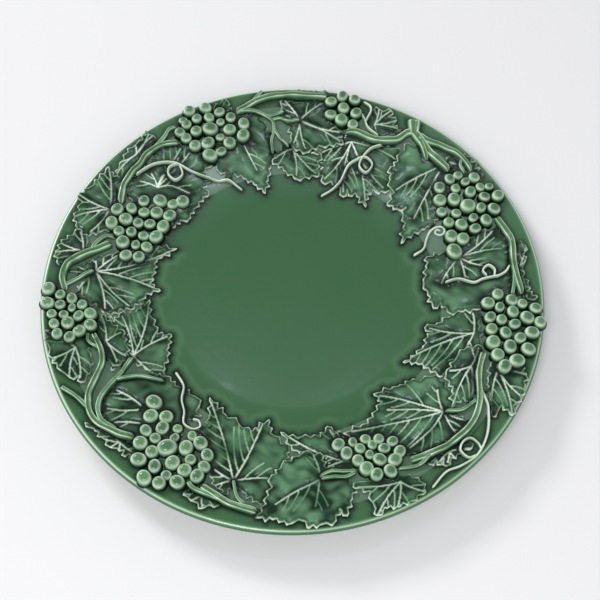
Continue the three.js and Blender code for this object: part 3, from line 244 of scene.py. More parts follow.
# Tendrils: runs of a middle line
TENDRILS = [
  [[[53, 99.6], [46.5, 97.5], [40.5, 90.5], [39.5, 86], [43.2, 82], [47.1, 87], [43.2, 92], [37.8, 91.3]],
    [[40.5, 91.8], [33.5, 87.8], [27, 75.4], [16.6, 68]]],
  [[[42.7, 129], [46.5, 125.5], [47, 122], [44, 116]],
    [[41, 122], [43.2, 117.4], [44.8, 111.5], [51, 105.5]]],
  [[[69.5, 27.5], [75.3, 31.6], [77, 37], [79.7, 42.7], [83.6, 45], [87, 44.3], [87.5, 41], [84.6, 39.6],
    [82.2, 41.4], [83.4, 43.2], [85.4, 42.4]]],
  [[[122.4, 16], [119.4, 11.8], [113.8, 9.8], [113.9, 14], [110.5, 17.2], [107.4, 14], [109.5, 10.6]],
    [[116, 10], [107.3, 8.8], [102.3, 7], [93.5, 10], [86.3, 8.5]]],
  [[[101.5, -58], [104, -71], [102.3, -86], [96, -98], [87, -104], [80, -106.7], [72, -115.7]],
    [[96, -98], [91.5, -99.4], [87.6, -95.5], [89.2, -90.6], [93.5, -88.2], [97, -91], [98.6, -95]]],
  [[[-63.7, -46], [-58.8, -55], [-59.3, -63.5], [-57.6, -71], [-57.4, -78], [-52.8, -80.5], [-49, -78.8],
    [-49.8, -75.6], [-53, -75]]],
  [[[-92, 77.4], [-82, 85], [-70, 86.8], [-59.4, 81.7], [-45.4, 77.4], [-37.8, 77.4], [-30, 72]],
    [[-68, 86.6], [-72.6, 84], [-73.5, 79.5], [-69.3, 75.8], [-65.2, 79.5], [-67, 85.5]]],
]

# Plate, in millimetres as in the CAD model
MM = 0.001
PLATE_RADIUS = 140
WELL_RADIUS = 66
WELL_LEVEL = 9
RIM_RISE = 12
RIM_CURVE = 1.5
LIP_ROUND = 2.3
FOOT_RADIUS = 81
FOOT_PROFILE = [
    (81.4, 3.4), (81, 2.6), (81, 0.7), (80.8, 0.2), (80.3, 0), (75.7, 0), (75.2, 0.2),
    (75, 0.7), (75, 2.1), (74.6, 3), (73.6, 3.5), (40, 3.5), (0, 3.5),
]
WALL_AT_FOOT = 5.5
WALL_AT_LIP = 4.6
PLATE_TURNS = 540

# Relief
GLAZE_SINK = 0.3  # how far the relief is sunk into the plate face so that it reads as one body
LEAF_HEIGHT = 1.6
VEIN_RISE = 0.5
RAISED = 1  # leaves with more extra height than this are puckered and have fainter veins
TIP_REACH = 2
TIP_LIMIT = 130  # lobe tips beyond this radius are left where they are
TOOTH_PITCH = 4.2
TOOTH_REACH = 2.1
NOTCH_DEPTH = 0.8
MARGIN_SPACING = 0.7
BLADE_SPACING = 0.62
VEIN_SPACING = 0.5
TWIG_START = 4.5
TWIG_PITCH = 6.5
TWIG_ANGLE = 0.85
STEM_HEIGHT = 3.0
THICK_STEM = 3
TENDRIL_HEIGHT = 1.5
TENDRIL_WIDTH = 1.55
GRAPE_SWELL = 0.4
GRAPE_DROP = 0.8
GRAPE_MOUND = 3.1
GRAPE_FLATTEN = 0.72
GRAPE_BELT = 2.3
FAR = 50.0  # stands for no relief nearby


def linear(r, g, b):
    c = np.array([r, g, b]) / 255.0
    return np.where(c <= 0.04045, c / 12.92, ((c + 0.055) / 1.055) ** 2.4)


# Glaze colours
POOL_AND_SHADE = linear(3, 22, 10)  # thick glaze in the hollows, also used as painted shade
DEEP = linear(8, 41, 20)
MID = linear(56, 99, 64)
WELL = linear(58, 99, 65)
THIN = linear(112, 154, 114)
PALE = linear(236, 250, 232)  # glaze drawn thin over an edge, and painted highlight
EDGE = linear(112, 166, 118)  # thin glaze; also the first step of the painted highlights
LIGHT = linear(94, 140, 104)
OLIVE = linear(92, 120, 66)
GRAPE_DARK = linear(64, 110, 72)
GRAPE_LIGHT = linear(94, 140, 96)
GRAPE_SHOULDER = linear(222, 243, 218)
UNDERSIDE = linear(96, 124, 102)


def mix(a, b, k):
    k = np.clip(np.asarray(k, float), 0, 1)[:, None]
    return a * (1 - k) + b * k


def thin_glaze_and_highlight(colors, k):
    """Glaze drawn thin, and painted highlight: first a lighter green, then nearly white."""
    k = np.asarray(k, float)
    return mix(mix(colors, EDGE, 1.7 * k), PALE, (k - 0.4) / 0.6)


def bump(d, width):
    return np.exp(-((d / width) ** 2))


def step(x, low, high):
    t = np.clip((x - low) / (high - low), 0, 1)
    return t * t * (3 - 2 * t)


def ripple(x, y, size, seed):
    """A smooth wander between about -1 and 1."""
    u = x / size + 0.9 * np.sin(0.7 * y / size + seed)
    v = y / size + 0.9 * np.sin(0.6 * x / size + 1.7 * seed)
    total = 0
    for k in range(5):
        turn = 0.7 + 2.4 * k
        across = u * math.cos(turn) + v * math.sin(turn)
        total = total + np.sin(across * (1 + 0.23 * k) + (k + 1.3) * seed)
    return total / 3.7


def ground(x, y):
    r = np.hypot(x, y)
    up = np.clip((r - WELL_RADIUS) / (PLATE_RADIUS - WELL_RADIUS), 0, None)
    return WELL_LEVEL + RIM_RISE * up**RIM_CURVE


# Outlines, distances and curves
def along(points, spacing, closed=False):
    p = np.array([q[:2] for q in points], float)
    if closed:
        p = np.vstack([p, p[:1]])
    length = np.concatenate([[0], np.cumsum(np.hypot(*np.diff(p, axis=0).T))])
    n = max(2, int(math.ceil(length[-1] / spacing)))
    s = np.linspace(0, length[-1], n + 1)
    out = np.stack([np.interp(s, length, p[:, i]) for i in (0, 1)], 1)
    return out[:-1] if closed else out


def curve(points, spacing):
    """A smooth line through the points, evenly spaced."""
    p = np.array(points, float)
    p = np.vstack([2 * p[0] - p[1], p, 2 * p[-1] - p[-2]])
    line = []
    t = np.linspace(0, 1, 24, endpoint=False)[:, None]
    for a, b, c, d in zip(p, p[1:], p[2:], p[3:]):
        ab, bc, cd = (max(math.sqrt(math.dist(*q)), 1e-3) for q in ((a, b), (b, c), (c, d)))
        m = ((b - a) / ab - (c - a) / (ab + bc) + (c - b) / bc) * bc
        n = ((c - b) / bc - (d - b) / (bc + cd) + (d - c) / cd) * bc
        h = (2 * t**3 - 3 * t**2 + 1) * b + (t**3 - 2 * t**2 + t) * m
        line.append(h + (3 * t**2 - 2 * t**3) * c + (t**3 - t**2) * n)
    return along(np.vstack(line + [p[-2:-1]]), spacing)


def inside(pts, poly):
    a, b = poly, np.roll(poly, -1, axis=0)
    odd = np.zeros(len(pts), bool)
    for (ax, ay), (bx, by) in zip(a, b):
        if ay != by:
            hit = (ay > pts[:, 1]) != (by > pts[:, 1])
            odd ^= hit & (pts[:, 0] < (bx - ax) * (pts[:, 1] - ay) / (by - ay) + ax)
    return odd


def to_line(pts, line):
    """Distance from each point to a line of straight pieces."""
    best = np.full(len(pts), 1e9)
    for a, b in zip(line[:-1], line[1:]):
        run = b - a
        t = np.clip(((pts - a) @ run) / max(run @ run, 1e-9), 0, 1)
        best = np.minimum(best, np.hypot(*(pts - a - t[:, None] * run).T))
    return best


def nearest(tree, pts):
    return np.array([tree.find((x, y, 0))[2] for x, y in pts])


def tree_of(parts):
    pts = np.vstack(parts)
    tree = kdtree.KDTree(len(pts))
    for i, (x, y) in enumerate(pts):
        tree.insert((x, y, 0), i)
    tree.balance()
    return tree


# One material for the whole glaze; its colour, with painted shade and painted highlights, is painted on the
# points of each piece
def glaze_material():
    mat = bpy.data.materials.new("green_glaze")
    mat.use_nodes = True
    nodes, links = mat.node_tree.nodes, mat.node_tree.links
    shader = nodes["Principled BSDF"]
    paint = nodes.new("ShaderNodeVertexColor")
    paint.layer_name = "glaze"
    links.new(paint.outputs["Color"], shader.inputs["Base Color"])
    shader.inputs["Roughness"].default_value = 0.2
    shader.inputs["Coat Weight"].default_value = 0.22
    shader.inputs["Coat Roughness"].default_value = 0.05
    shader.inputs["IOR"].default_value = 1.36
    wander = nodes.new("ShaderNodeTexNoise")
    wander.inputs["Scale"].default_value = 260
    wander.inputs["Detail"].default_value = 3
    place = nodes.new("ShaderNodeTexCoord")
    links.new(place.outputs["Object"], wander.inputs["Vector"])
    uneven = nodes.new("ShaderNodeBump")
    uneven.inputs["Strength"].default_value = 0.12
    uneven.inputs["Distance"].default_value = 0.0004
    links.new(wander.outputs["Fac"], uneven.inputs["Height"])
    links.new(uneven.outputs["Normal"], shader.inputs["Normal"])
    return mat


GLAZE = glaze_material()


def piece(name, verts, faces, colors, node, slot):
    mesh = bpy.data.meshes.new(name)
    mesh.from_pydata((np.asarray(verts) * MM).tolist(), [], [tuple(map(int, f)) for f in faces])
    paint = mesh.color_attributes.new("glaze", "FLOAT_COLOR", "POINT")
    rgba = np.ones((len(verts), 4), np.float32)
    rgba[:, :3] = np.clip(colors, 0, 1)
    paint.data.foreach_set("color", rgba.ravel())
    mesh.polygons.foreach_set("use_smooth", [True] * len(mesh.polygons))
    mesh.materials.append(GLAZE)
    mesh.update()
    obj = bpy.data.objects.new(name, mesh)
    bpy.context.scene.collection.objects.link(obj)
    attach(obj, "root")
    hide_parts(node)
    return obj


# Leaf outlines with fine teeth
def leaf_outline(base, corners):
    p = np.array([c[:2] for c in corners], float)
    for k, c in enumerate(corners):
        away = p[k] - base
        if len(c) > 2 and math.hypot(*p[k]) < TIP_LIMIT:
            p[k] += TIP_REACH * away / math.hypot(*away)
    turn = np.sum(p[:, 0] * np.roll(p[:, 1], -1) - p[:, 1] * np.roll(p[:, 0], -1))
    if turn < 0:
        p = p[::-1]
    line = []
    for a, b in zip(p, np.roll(p, -1, axis=0)):
        run = b - a
        length = math.hypot(*run)
        out = np.array([run[1], -run[0]]) / length
        teeth = int(round(length / TOOTH_PITCH))
        lean = 0.64 if math.dist(base, b) > math.dist(base, a) else 0.36
        line.append(a)
        for k in range(teeth if length > 4 else 0):
            if k:
                notch = min(NOTCH_DEPTH, 2.4 * min(k, teeth - k) / teeth - 0.5)
                line.append(a + run * k / teeth - out * notch)
            f = (k + lean) / teeth
            line.append(a + run * f + out * TOOTH_REACH * min(1, 3.2 * min(f, 1 - f) - 0.35))
    return np.array(line)


OUTLINES = [leaf_outline(base, corners) for base, extra, corners in LEAVES]
BEDS = [LEAF_HEIGHT + VEIN_RISE + extra for base, extra, corners in LEAVES]


def bed(pts):
    high = np.zeros(len(pts))
    for outline, height in zip(OUTLINES, BEDS):
        high = np.maximum(high, np.where(inside(pts, outline), height, 0))
    return high


# Stem and tendril lines with their half widths and the height they ride at
def run_line(points, start, end, spacing):
    line = curve(points, spacing)
    n = len(line)
    half = np.linspace(start, end, n) / 2
    reach = max(1, int(round(2.5 / spacing)))
    lift = bed(line)
    lift = np.array([lift[max(0, i - reach):i + reach + 1].max() for i in range(n)])
    pad = np.pad(lift, 2 * reach, mode="edge")
    kernel = np.hanning(4 * reach + 3)[1:-1]
    lift = np.convolve(pad, kernel / kernel.sum(), mode="valid")
    tangent = np.gradient(line, axis=0)
    tangent /= np.hypot(*tangent.T)[:, None]
    side = np.stack([-tangent[:, 1], tangent[:, 0]], 1)
    return line, side, half, lift


STEM_RUNS = [[run_line(*run, 0.8) for run in stem] for stem in STEMS]
TENDRIL_RUNS = [
    [run_line(points, TENDRIL_WIDTH, TENDRIL_WIDTH * 0.85, 0.6) for points in runs]
    for runs in TENDRILS
]


def edges(run):
    line, side, half, lift = run
    return [line + side * half[:, None], line - side * half[:, None], line]


def ring(x, y, r, n=20):
    a = np.linspace(0, 2 * math.pi, n, endpoint=False)
    return np.stack([x + r * np.cos(a), y + r * np.sin(a)], 1)


VINE_EDGES = [e for runs in STEM_RUNS + TENDRIL_RUNS for run in runs for e in edges(run)]
GRAPE_EDGES = [ring(x, y, r * d / 2) for grapes in CLUSTERS for x, y, d in grapes for r in (0.5, 1)]
ABOVE_LEAVES = tree_of(VINE_EDGES + GRAPE_EDGES)
ALL_GRAPES = tree_of(GRAPE_EDGES)
ALL_EDGES = tree_of(VINE_EDGES + GRAPE_EDGES + [along(o, 0.8, True) for o in OUTLINES])


# Plate body: turned profile, painted darker round the relief as pooled glaze and painted shade, with a
# painted reflection band and a painted highlight on the lip
def plate_body():
    lip = PLATE_RADIUS - LIP_ROUND
    top = np.concatenate([np.linspace(0, 60, 16), np.linspace(62, lip, 90)])
    prof = [(r, float(ground(r, 0))) for r in top]
    z_lip = prof[-1][1] - LIP_ROUND
    for a in np.linspace(1.4, -1.57, 12):
        prof.append((lip + 2.29 * math.cos(a), z_lip + LIP_ROUND * math.sin(a)))
    for r in np.linspace(lip, 83.1, 16)[1:]:
        t = (r - FOOT_RADIUS) / (lip - FOOT_RADIUS)
        prof.append((r, float(ground(r, 0)) - WALL_AT_FOOT * (1 - t) - WALL_AT_LIP * t))
    prof += FOOT_PROFILE
    turns = PLATE_TURNS
    a = np.arange(turns) * 2 * math.pi / turns
    verts = [(0, 0, prof[0][1])]
    rows = prof[1:-1]
    for r, z in rows:
        verts += list(zip(r * np.cos(a), r * np.sin(a), np.full(turns, z)))
    verts.append((0, 0, prof[-1][1]))
    verts = np.array(verts)
    last = len(verts) - 1
    faces = [(0, 1 + i, 1 + (i + 1) % turns) for i in range(turns)]
    for k in range(len(rows) - 1):
        lo = 1 + k * turns
        for i in range(turns):
            j = (i + 1) % turns
            faces.append((lo + i, lo + turns + i, lo + turns + j, lo + j))
    lo = 1 + (len(rows) - 1) * turns
    faces += [(lo + i, last, lo + (i + 1) % turns) for i in range(turns)]
    x, y, z = verts.T
    r = np.hypot(x, y)
    upper = z > ground(x, y) - 1.2
    streak = ripple(x + 0.6 * y, y * 0.15 - 0.1 * x, 7, 3)
    colors = mix(WELL, MID, 0.5 + 0.35 * streak)
    near, grapes = np.full(len(verts), FAR), np.full(len(verts), FAR)
    rim = upper & (r > 60)
    near[rim] = nearest(ALL_EDGES, verts[rim, :2])
    # Pooled glaze and painted shade round the relief
    colors = mix(colors, POOL_AND_SHADE, np.where(rim, 0.96 * bump(near, 1.8) + 0.2 * bump(near, 4.5), 0))
    # Painted shade and pooled glaze on the ground round the grapes
    grapes[rim] = nearest(ALL_GRAPES, verts[rim, :2])
    colors = mix(colors, POOL_AND_SHADE, np.where(rim, 0.9 * bump(grapes, 2.8), 0))
    # Painted reflection: a lighter band inside the rim, hugging the relief on the near side
    painted_reflection_band = bump(near - 4.6, 1.5) * step(82 - r, 0, 6) * (y < 30)
    colors = mix(colors, THIN, np.where(rim, 0.2 * painted_reflection_band, 0))
    # Painted highlight along the lip, stronger towards the back and the left
    lip_highlight = bump(r - 138.6, 0.7) * (z > z_lip - 0.4)
    colors = mix(colors, EDGE, np.where(upper, 0.08 * step(r, 118, 134), 0))
    colors = thin_glaze_and_highlight(colors, (0.85 + 0.15 * y / 140 - 0.12 * x / 140) * lip_highlight)
    colors = mix(colors, UNDERSIDE, np.where(z < z_lip - 0.2, 0.8, 0) * (r > 84))
    return piece("glazed_body", verts, faces, colors, "plate_body", "glaze_body")


# Veins drawn on the leaves that show them plainly; the other leaves get one to each lobe tip
PLAIN_VEINS = {
    3: [[(-29, 100.5), (-25, 92), (-21, 84)]],
    4: [[(84, 82.3), (72, 77), (60, 70)], [(86, 80), (77, 64), (70, 50)]],
    6: [[(95, 24), (109, 17.5)], [(95, 24), (119, 27.5)], [(95, 24), (115, 40)], [(95, 24), (97.5, 8)],
        [(95, 24), (84, 8)]],
    10: [[(80.5, -71.5), (57, -62.5), (46, -60)], [(80.5, -71.5), (78.3, -57.5)],
         [(80.5, -71.5), (68.5, -74.5), (30, -82)], [(80.5, -71.5), (66, -69.5), (50, -69)],
         [(80.5, -71.5), (75, -80), (69, -86), (61, -93)], [(80.5, -71.5), (84, -81), (86.5, -85)],
         [(80.5, -71.5), (92, -77.5)]],
    13: [[(14.3, -110.5), (13.4, -118), (12, -126.6)], [(14.3, -110.5), (2, -117), (-9, -125)],
         [(14.3, -110.5), (14, -104), (11, -95)]],
    15: [[(-30.2, -110.5), (-35.3, -89.6), (-43.9, -63)], [(-30.2, -110.5), (-23.5, -97), (-14.2, -73)],
         [(-30.2, -110.5), (-20, -109), (-9, -108.5)], [(-30.2, -110.5), (-40.4, -104)],
         [(-30.2, -110.5), (-40, -114)]],
    16: [[(-81, -67.5), (-95, -59)], [(-82, -70.5), (-99, -70.5)], [(-81, -78.5), (-94, -79)]],
    24: [[(-79.5, 70.7), (-83.5, 79.5)], [(-79.5, 70.7), (-76, 79.5)], [(-79.5, 70.7), (-90, 73.8)],
         [(-79.5, 70.7), (-72, 72.5), (-60, 68)], [(-79.5, 70.7), (-70.5, 89.5), (-66.4, 97.8)],
         [(-79.5, 70.7), (-68, 85), (-61, 95)]],
}


# Leaves: quilted blades with raised veins and a rolled, toothed margin
def veins_of(number, base, corners, outline):
    mains, sides, twigs = [], [], []
    lines = PLAIN_VEINS.get(number) or [[base, c[:2]] for c in corners if len(c) > 2]
    for i, line in enumerate(lines):
        main = curve(line, VEIN_SPACING)
        t = np.linspace(0, 1, len(main))[:, None]
        run = main[-1] - main[0]
        if len(line) == 2:
            main = main + np.array([-run[1], run[0]]) * 0.2 * t * (1 - t) * (1 if i % 2 else -1)
        main = main[: max(4, int(len(main) * 0.97))]
        mains.append(main)
        length = math.hypot(*run)
        for f in np.arange(TWIG_START, length * 0.8, TWIG_PITCH):
            for hand in (1, -1):
                k = min(int(f / VEIN_SPACING) + (2 if hand > 0 else 0), len(main) - 2)
                way = main[k + 1] - main[k]
                way = way / math.hypot(*way)
                c, d = math.cos(TWIG_ANGLE), math.sin(TWIG_ANGLE) * hand
                out = np.array([way[0] * c - way[1] * d, way[0] * d + way[1] * c])
                reach = 0.5 * length * (1 - f / length) + 2
                q = np.linspace(0, 1, 12)[:, None]
                twigs.append((i, main[k] + out * reach * q + way * reach * 0.45 * q * q))
    for i, twig in twigs:
        free = inside(twig, outline)
        for k, main in enumerate(mains):
            if k != i:
                free &= to_line(twig, main[::4]) > 1.3
        for other in sides:
            free &= to_line(twig, other) > 1.6
        stop = len(twig) if free.all() else int(np.argmin(free))
        if stop > 3:
            sides.append(twig[:stop])
    return mains, sides


def sharp(outline):
    """Which corners of the outline point outwards."""
    a, b = outline - np.roll(outline, 1, axis=0), np.roll(outline, -1, axis=0) - outline
    return a[:, 0] * b[:, 1] - a[:, 1] * b[:, 0] > 0


# Leaves listed earlier lie in front of the later ones
def in_front(pts, i):
    under = np.zeros(len(pts), bool)
    if i == 0:
        return under, np.full(len(pts), 9.0)
    for outline in OUTLINES[:i]:
        under |= inside(pts, outline)
    return under, nearest(tree_of([along(o, 0.5, True) for o in OUTLINES[:i]]), pts)


def leaf_mesh(outline, veins):
    """A flat leaf with points kept along its margin and its veins."""
    rim = []
    for a, b in zip(outline, np.roll(outline, -1, axis=0)):
        cuts = max(1, int(math.ceil(math.dist(a, b) / MARGIN_SPACING)))
        rim += [a + (b - a) * k / cuts for k in range(cuts)]
    rim = np.array(rim)
    closed = np.vstack([rim, rim[:1]])
    spans = [np.arange(low, high, BLADE_SPACING) for low, high in zip(outline.min(0), outline.max(0))]
    gx, gy = np.meshgrid(*spans)
    gx[1::2] += BLADE_SPACING / 2
    grid = np.stack([gx.ravel(), gy.ravel()], 1)
    grid = grid[inside(grid, outline)]
    grid = grid[to_line(grid, closed) > 0.42]
    ribs = np.vstack([along(v, VEIN_SPACING) for v in veins])
    ribs = ribs[inside(ribs, outline)]
    ribs = ribs[to_line(ribs, closed) > 0.3]
    pts = np.vstack([rim, ribs, grid[nearest(tree_of([ribs]), grid) > 0.4]])
    n = len(rim)
    margin = [(k, (k + 1) % n) for k in range(n)]
    flat = delaunay_2d_cdt([Vector(p) for p in pts], margin, [], 1, 1e-5)
    return np.array([v[:] for v in flat[0]]), [tuple(f) for f in flat[2]], closed


def leaf(i):
    base, extra, corners = LEAVES[i]
    outline = OUTLINES[i]
    raised = extra > RAISED
    mains, sides = veins_of(i + 1, base, corners, outline)
    pts, faces, closed = leaf_mesh(outline, mains + sides)
    d_main = np.min([to_line(pts, m) for m in mains], axis=0)
    d_side = np.min([to_line(pts, m) for m in sides], axis=0) if sides else np.full(len(pts), 9.0)
    d_rim = to_line(pts, closed)
    from_base = np.min([np.hypot(*(pts - m[0]).T) for m in mains], axis=0)
    fade = 1 - 0.4 * from_base / from_base.max()
    x, y = pts.T
    blade = step(d_rim, 0, 3)
    quilt = 0.35 * (1 - bump(d_main, 3)) * blade + 0.1 * (1 - bump(d_side, 1.5)) * blade
    puckers = ripple(x, y, 3 if raised else 3.2, i) * (0.32 if raised else 0.2)
    quilt = quilt + (puckers + 0.18 * ripple(x, y, 7, i)) * blade
    h = LEAF_HEIGHT + extra - GLAZE_SINK + quilt
    h = h + 0.26 * fade * bump(d_main, 0.4 + 0.2 * fade)
    h = h + 0.1 * bump(d_side, 0.5) + 0.2 * bump(d_rim - 0.7, 0.7)
    h = h * (0.88 + 0.12 * step(d_rim, -0.05, 0.5))
    under, gap = in_front(pts, i)
    h = h * (1 - 0.6 * np.where(under, 1, bump(gap, 1.8)))
    top = np.column_stack([x, y, ground(x, y) + h])
    tips = tree_of([outline[sharp(outline)]])
    # Random unevenness of the pale thin glaze and painted highlight on veins and margin
    uneven_pale = 0.8 + 0.3 * ripple(x, y, 6, i + 5)
    mottle = 0.2 * ripple(x, y, 9, i + 2) + (0.38 if raised else 0.22) * ripple(x, y, 1.7, i)
    # Blade lighter on the raised puckers, as thin glaze and painted light, with random mottling
    colors = mix(DEEP, LIGHT, 1.4 * quilt - 0.08 + mottle)
    # Painted shade and pooled glaze in a band beside the main veins
    colors = mix(colors, POOL_AND_SHADE, 0.3 * bump(d_main - 1, 0.6) * step(d_rim, 0.8, 2))
    # Veins paler, as thin glaze and painted highlight
    ribs = np.maximum(1.1 * bump(d_main, 0.32), 0.8 * bump(d_side, 0.28))
    colors = thin_glaze_and_highlight(colors, uneven_pale * fade * (0.75 if raised else 1) * ribs)
    # Margin paler, as thin glaze and painted highlight, strongest at the tooth tips
    edge = 0.7 + 0.7 * bump(nearest(tips, pts), 1.3)
    colors = thin_glaze_and_highlight(colors, uneven_pale * bump(d_rim - 0.05, 0.5) * edge)
    # Pooled glaze and painted shade next to the stems, tendrils and grapes standing above the leaf
    above = nearest(ABOVE_LEAVES, pts)
    colors = mix(colors, POOL_AND_SHADE, 0.95 * bump(above, 1.7) + 0.3 * bump(above, 4.5))
    # Painted shadow of the leaves in front: dark under them and along their outlines
    colors = mix(colors, POOL_AND_SHADE, np.where(under, 1, 0.9 * bump(gap, 1.1)))
    # Painted shade and pooled glaze near the grapes
    colors = mix(colors, POOL_AND_SHADE, 0.8 * bump(nearest(ALL_GRAPES, pts), 2.6))
    border = edge_loop(faces)
    skirt = np.column_stack([pts[border], ground(*pts[border].T) - GLAZE_SINK])
    count = len(top)
    for k in range(len(border)):
        j = (k + 1) % len(border)
        faces.append((border[k], count + k, count + j, border[j]))
    faces.append(tuple(range(count, count + len(border)))[::-1])
    verts = np.vstack([top, skirt])
    # Side walls painted dark, as pooled glaze and painted shade
    colors = np.vstack([colors, np.tile(POOL_AND_SHADE, (len(border), 1))])
    number = f"{i + 1:02d}"
    return piece("glazed_leaf_" + number, verts, faces, colors, "vine_leaf_" + number, "glaze_leaf")


def edge_loop(faces):
    """The points round the open edge, in order."""
    follow = {}
    seen = set()
    for f in faces:
        for a, b in zip(f, f[1:] + f[:1]):
            seen.add((a, b))
    for a, b in seen:
        if (b, a) not in seen:
            follow[a] = b
    start = next(iter(follow))
    loop = [start]
    while follow[loop[-1]] != start:
        loop.append(follow[loop[-1]])
    return loop


# Stems and tendrils: swept runs with rounded ends
def sweep(run, height, groove, seed, blunt):
    line, side, half, lift = run
    n = len(line)
    m = 15
    u = np.linspace(-1, 1, m)
    shape = np.clip(1 - np.abs(u) ** 2.4, 0, 1) ** 0.6
    v = shape * (1 - groove * bump(u, 0.3))
    s = np.arange(n) * math.dist(line[0], line[1])
    ends = np.minimum(s, s[-1] - s)
    round_off = np.sqrt(np.clip(1 - (1 - np.clip(ends / blunt, 0, 1)) ** 2, 0.04, 1))
    wobble = 1 + 0.09 * ripple(line[:, 0], line[:, 1], 3.2, seed)
    w = half * wobble * (0.35 + 0.65 * round_off)
    x = line[:, :1] + side[:, :1] * u * w[:, None]
    y = line[:, 1:] + side[:, 1:] * u * w[:, None]
    tall = lift * np.where(round_off < 0.9, 0.97, 1) + height * round_off * (0.94 + 0.06 * wobble)
    arch = np.clip(v * 1.25, 0, 1) ** 0.5 * (0.72 + 0.28 * v)
    z = ground(x, y) + np.where(v > 0.02, tall[:, None] * arch, 0) - 0.05
    base = ground(x, y) - GLAZE_SINK
    z = np.maximum(z, base)
    verts = np.stack([x, y, z], 2)
    foot = np.stack([x[:, [-1, 0]], y[:, [-1, 0]], base[:, [-1, 0]]], 2)
    verts = np.concatenate([verts, foot], 1)
    k = m + 2
    faces = []
    for i in range(n - 1):
        for j in range(k):
            a, b = i * k + j, i * k + (j + 1) % k
            faces.append((a, a + k, b + k, b))
    faces.append(tuple(range(k)))
    faces.append(tuple(range((n - 1) * k, n * k))[::-1])
    uu = np.tile(np.concatenate([u, [1, -1]]), n)
    vv = np.tile(np.concatenate([v, [0, 0]]), n)
    return verts.reshape(-1, 3), faces, uu, vv


def joined(parts):
    verts, faces, colors = [], [], []
    count = 0
    for v, f, c in parts:
        verts.append(v)
        colors.append(c)
        faces += [tuple(i + count for i in q) for q in f]
        count += len(v)
    return np.vstack(verts), faces, np.vstack(colors)


def stem(i):
    parts = []
    for k, run in enumerate(STEM_RUNS[i]):
        thick = run[2].mean() * 2
        tall = STEM_HEIGHT * min(1, 0.45 + thick / 7)
        groove = 0.42 if thick > THICK_STEM else 0.15
        verts, faces, u, v = sweep(run, tall, groove, i + k, min(2.2, thick * 0.6))
        x, y = verts[:, 0], verts[:, 1]
        grain = ripple(x, y, 2.6, i + k)
        # Lighter towards the crest, as thinner glaze and painted light, with a random grain
        colors = mix(MID, THIN, 0.15 + 0.6 * v + 0.4 * grain)
        if thick > THICK_STEM:
            colors = mix(colors, OLIVE, 0.7 * bump(u, 0.25) * (v > 0.3))
        # Pale lines along the edges, as thin glaze and painted highlight
        colors = thin_glaze_and_highlight(colors, bump(np.abs(u) - 0.6, 0.16) * (0.85 + 0.4 * grain))
        # Lower flanks darker, as pooled glaze and painted shade
        colors = mix(colors, POOL_AND_SHADE, step(0.55 - v, 0, 0.5))
        parts.append((verts, faces, colors))
    return piece(f"glazed_stem_{i + 1}", *joined(parts), f"vine_stem_{i + 1}", "glaze_stem")


def tendril(i):
    parts = []
    for k, run in enumerate(TENDRIL_RUNS[i]):
        verts, faces, u, v = sweep(run, TENDRIL_HEIGHT, 0, i + k + 20, 1.2)
        x, y = verts[:, 0], verts[:, 1]
        # Paler towards the crest, as thin glaze and painted light
        colors = mix(THIN, PALE, 0.15 + 0.55 * v + 0.2 * ripple(x, y, 4, i))
        # Lower flanks darker, as pooled glaze and painted shade
        colors = mix(colors, POOL_AND_SHADE, 0.8 * step(0.4 - v, 0, 0.4))
        parts.append((verts, faces, colors))
    return piece(f"glazed_tendril_{i + 1}", *joined(parts), f"tendril_{i + 1}", "glaze_tendril")


# Grapes: domes on a dark bed painted as pooled glaze and painted shade, with a pale shoulder of thin glaze
# and painted highlight, paler on the upper left as painted light
def grape(x, y, d, seed):
    rows, sides = 13, 26
    r = d / 2 + GRAPE_SWELL
    y = y - GRAPE_DROP
    g = float(ground(x, y))
    tall = GRAPE_MOUND + GRAPE_FLATTEN * d / 2
    a = np.linspace(0, 2 * math.pi, sides, endpoint=False)
    tilt = 0.09 * math.sin(seed * 2.3)
    verts, shade = [(x, y, g + tall)], [0.0]
    for k in range(1, rows):
        t = k / (rows - 4) * math.pi / 2
        if t <= math.pi / 2:
            q, z = math.sin(t) ** 0.9, GRAPE_BELT + (tall - GRAPE_BELT) * math.cos(t)
        else:
            f = (k - rows + 4) / 3
            q, z = 1 + 0.24 * f, GRAPE_BELT * (1 - f) - GLAZE_SINK * f
        skew = 1 + tilt * np.cos(2 * a + seed)
        px, py = x + r * q * skew * np.cos(a), y + r * q * skew * np.sin(a)
        pz = np.full(sides, g + z) if k < rows - 1 else ground(px, py) - GLAZE_SINK
        verts += list(zip(px, py, pz))
        shade += [t / (math.pi / 2)] * sides
    faces = [(0, 1 + i, 1 + (i + 1) % sides) for i in range(sides)]
    for k in range(rows - 2):
        lo = 1 + k * sides
        for i in range(sides):
            j = (i + 1) % sides
            faces.append((lo + i, lo + sides + i, lo + sides + j, lo + j))
    faces.append(tuple(range(1 + (rows - 2) * sides, 1 + (rows - 1) * sides))[::-1])
    verts, shade = np.array(verts), np.array(shade)
    tone = 0.5 + 0.5 * math.sin(seed * 1.7)
    crown = mix(np.array([GRAPE_DARK]), GRAPE_LIGHT, [tone])[0]
    around = np.append(0, np.tile(a, rows - 1))
    # Pale shoulder ring of thin glaze and painted highlight; the first term makes it paler on the upper left
    # as painted light, the second varies it at random
    shoulder_pale_and_lit = 0.74 + 0.16 * np.cos(around - 2.1) + 0.16 * np.cos(2 * around + seed)
    colors = mix(crown, GRAPE_SHOULDER, bump(shade - 0.58, 0.18) * shoulder_pale_and_lit)
    # Foot painted dark, as pooled glaze and painted shade
    colors = mix(colors, POOL_AND_SHADE, step(shade, 0.86, 1.12))
    return verts, faces, colors


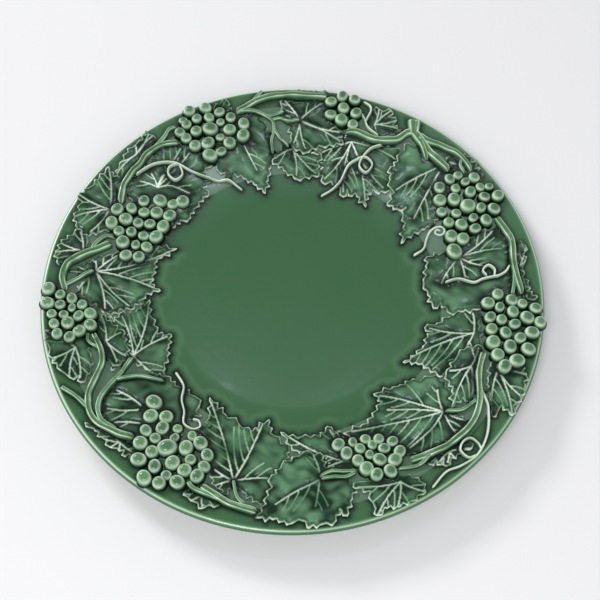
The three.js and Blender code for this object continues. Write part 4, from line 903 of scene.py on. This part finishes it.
def cluster(i):
    parts = []
    for k, (x, y, d) in enumerate(CLUSTERS[i]):
        parts.append(grape(x, y, d, i * 31 + k))
    return piece(f"glazed_cluster_{i + 1}", *joined(parts), f"grape_cluster_{i + 1}", "glaze_grape")


plate_body()
for i in range(len(LEAVES)):
    leaf(i)
for i in range(len(STEMS)):
    stem(i)
for i in range(len(TENDRILS)):
    tendril(i)
for i in range(len(CLUSTERS)):
    cluster(i)


# Floor, light and camera
def plain(name, color, roughness):
    mat = bpy.data.materials.new(name)
    mat.use_nodes = True
    shader = mat.node_tree.nodes["Principled BSDF"]
    shader.inputs["Base Color"].default_value = (*color, 1)
    shader.inputs["Roughness"].default_value = roughness
    shader.inputs["Specular IOR Level"].default_value = 0.1
    return mat


bpy.ops.mesh.primitive_plane_add(size=8, location=(0, 0, 0))
floor = bpy.context.object
floor.name = "floor"
floor.data.materials.append(plain("pale_floor", (0.86, 0.86, 0.87), 0.9))


def softbox(name, at, size, power, color=(1, 1, 1)):
    lamp = bpy.data.lights.new(name, "AREA")
    lamp.shape = "RECTANGLE"
    lamp.size, lamp.size_y = size
    lamp.energy = power
    lamp.color = color
    obj = bpy.data.objects.new(name, lamp)
    obj.location = at
    obj.rotation_euler = (-Vector(at)).to_track_quat("-Z", "Y").to_euler()
    bpy.context.scene.collection.objects.link(obj)


softbox("key", (-1.16, 1.26, 1.2), (0.59, 0.45), 18, (1, 1, 0.98))
softbox("window_left", (-0.405, 1.453, 3.73), (0.34, 0.2), 3, (0.8, 0.88, 1))
softbox("window_right", (0.284, 1.37, 3.79), (0.34, 0.2), 3, (0.8, 0.88, 1))
softbox("front", (0.2, -1.2, 1.0), (1.2, 0.8), 4.6)
softbox("overhead", (-0.3, -0.85, 1.4), (0.5, 0.5), 9.8)

scene = bpy.context.scene
world = bpy.data.worlds.new("studio")
scene.world = world
world.use_nodes = True
sky = world.node_tree.nodes["Background"]
sky.inputs["Color"].default_value = (0.98, 0.98, 1, 1)
sky.inputs["Strength"].default_value = 0.39
scene.view_settings.view_transform = "Standard"

TARGET = Vector((0.0042, 0.004, 0))
ELEVATION = math.radians(62.04)
DISTANCE = 0.7
lens = bpy.data.cameras.new("camera")
lens.sensor_width = 36
lens.lens = 73.34
camera = bpy.data.objects.new("camera", lens)
camera.location = TARGET + DISTANCE * Vector((0, -math.cos(ELEVATION), math.sin(ELEVATION)))
camera.rotation_euler = (math.pi / 2 - ELEVATION, 0, 0)
scene.collection.objects.link(camera)
scene.camera = camera
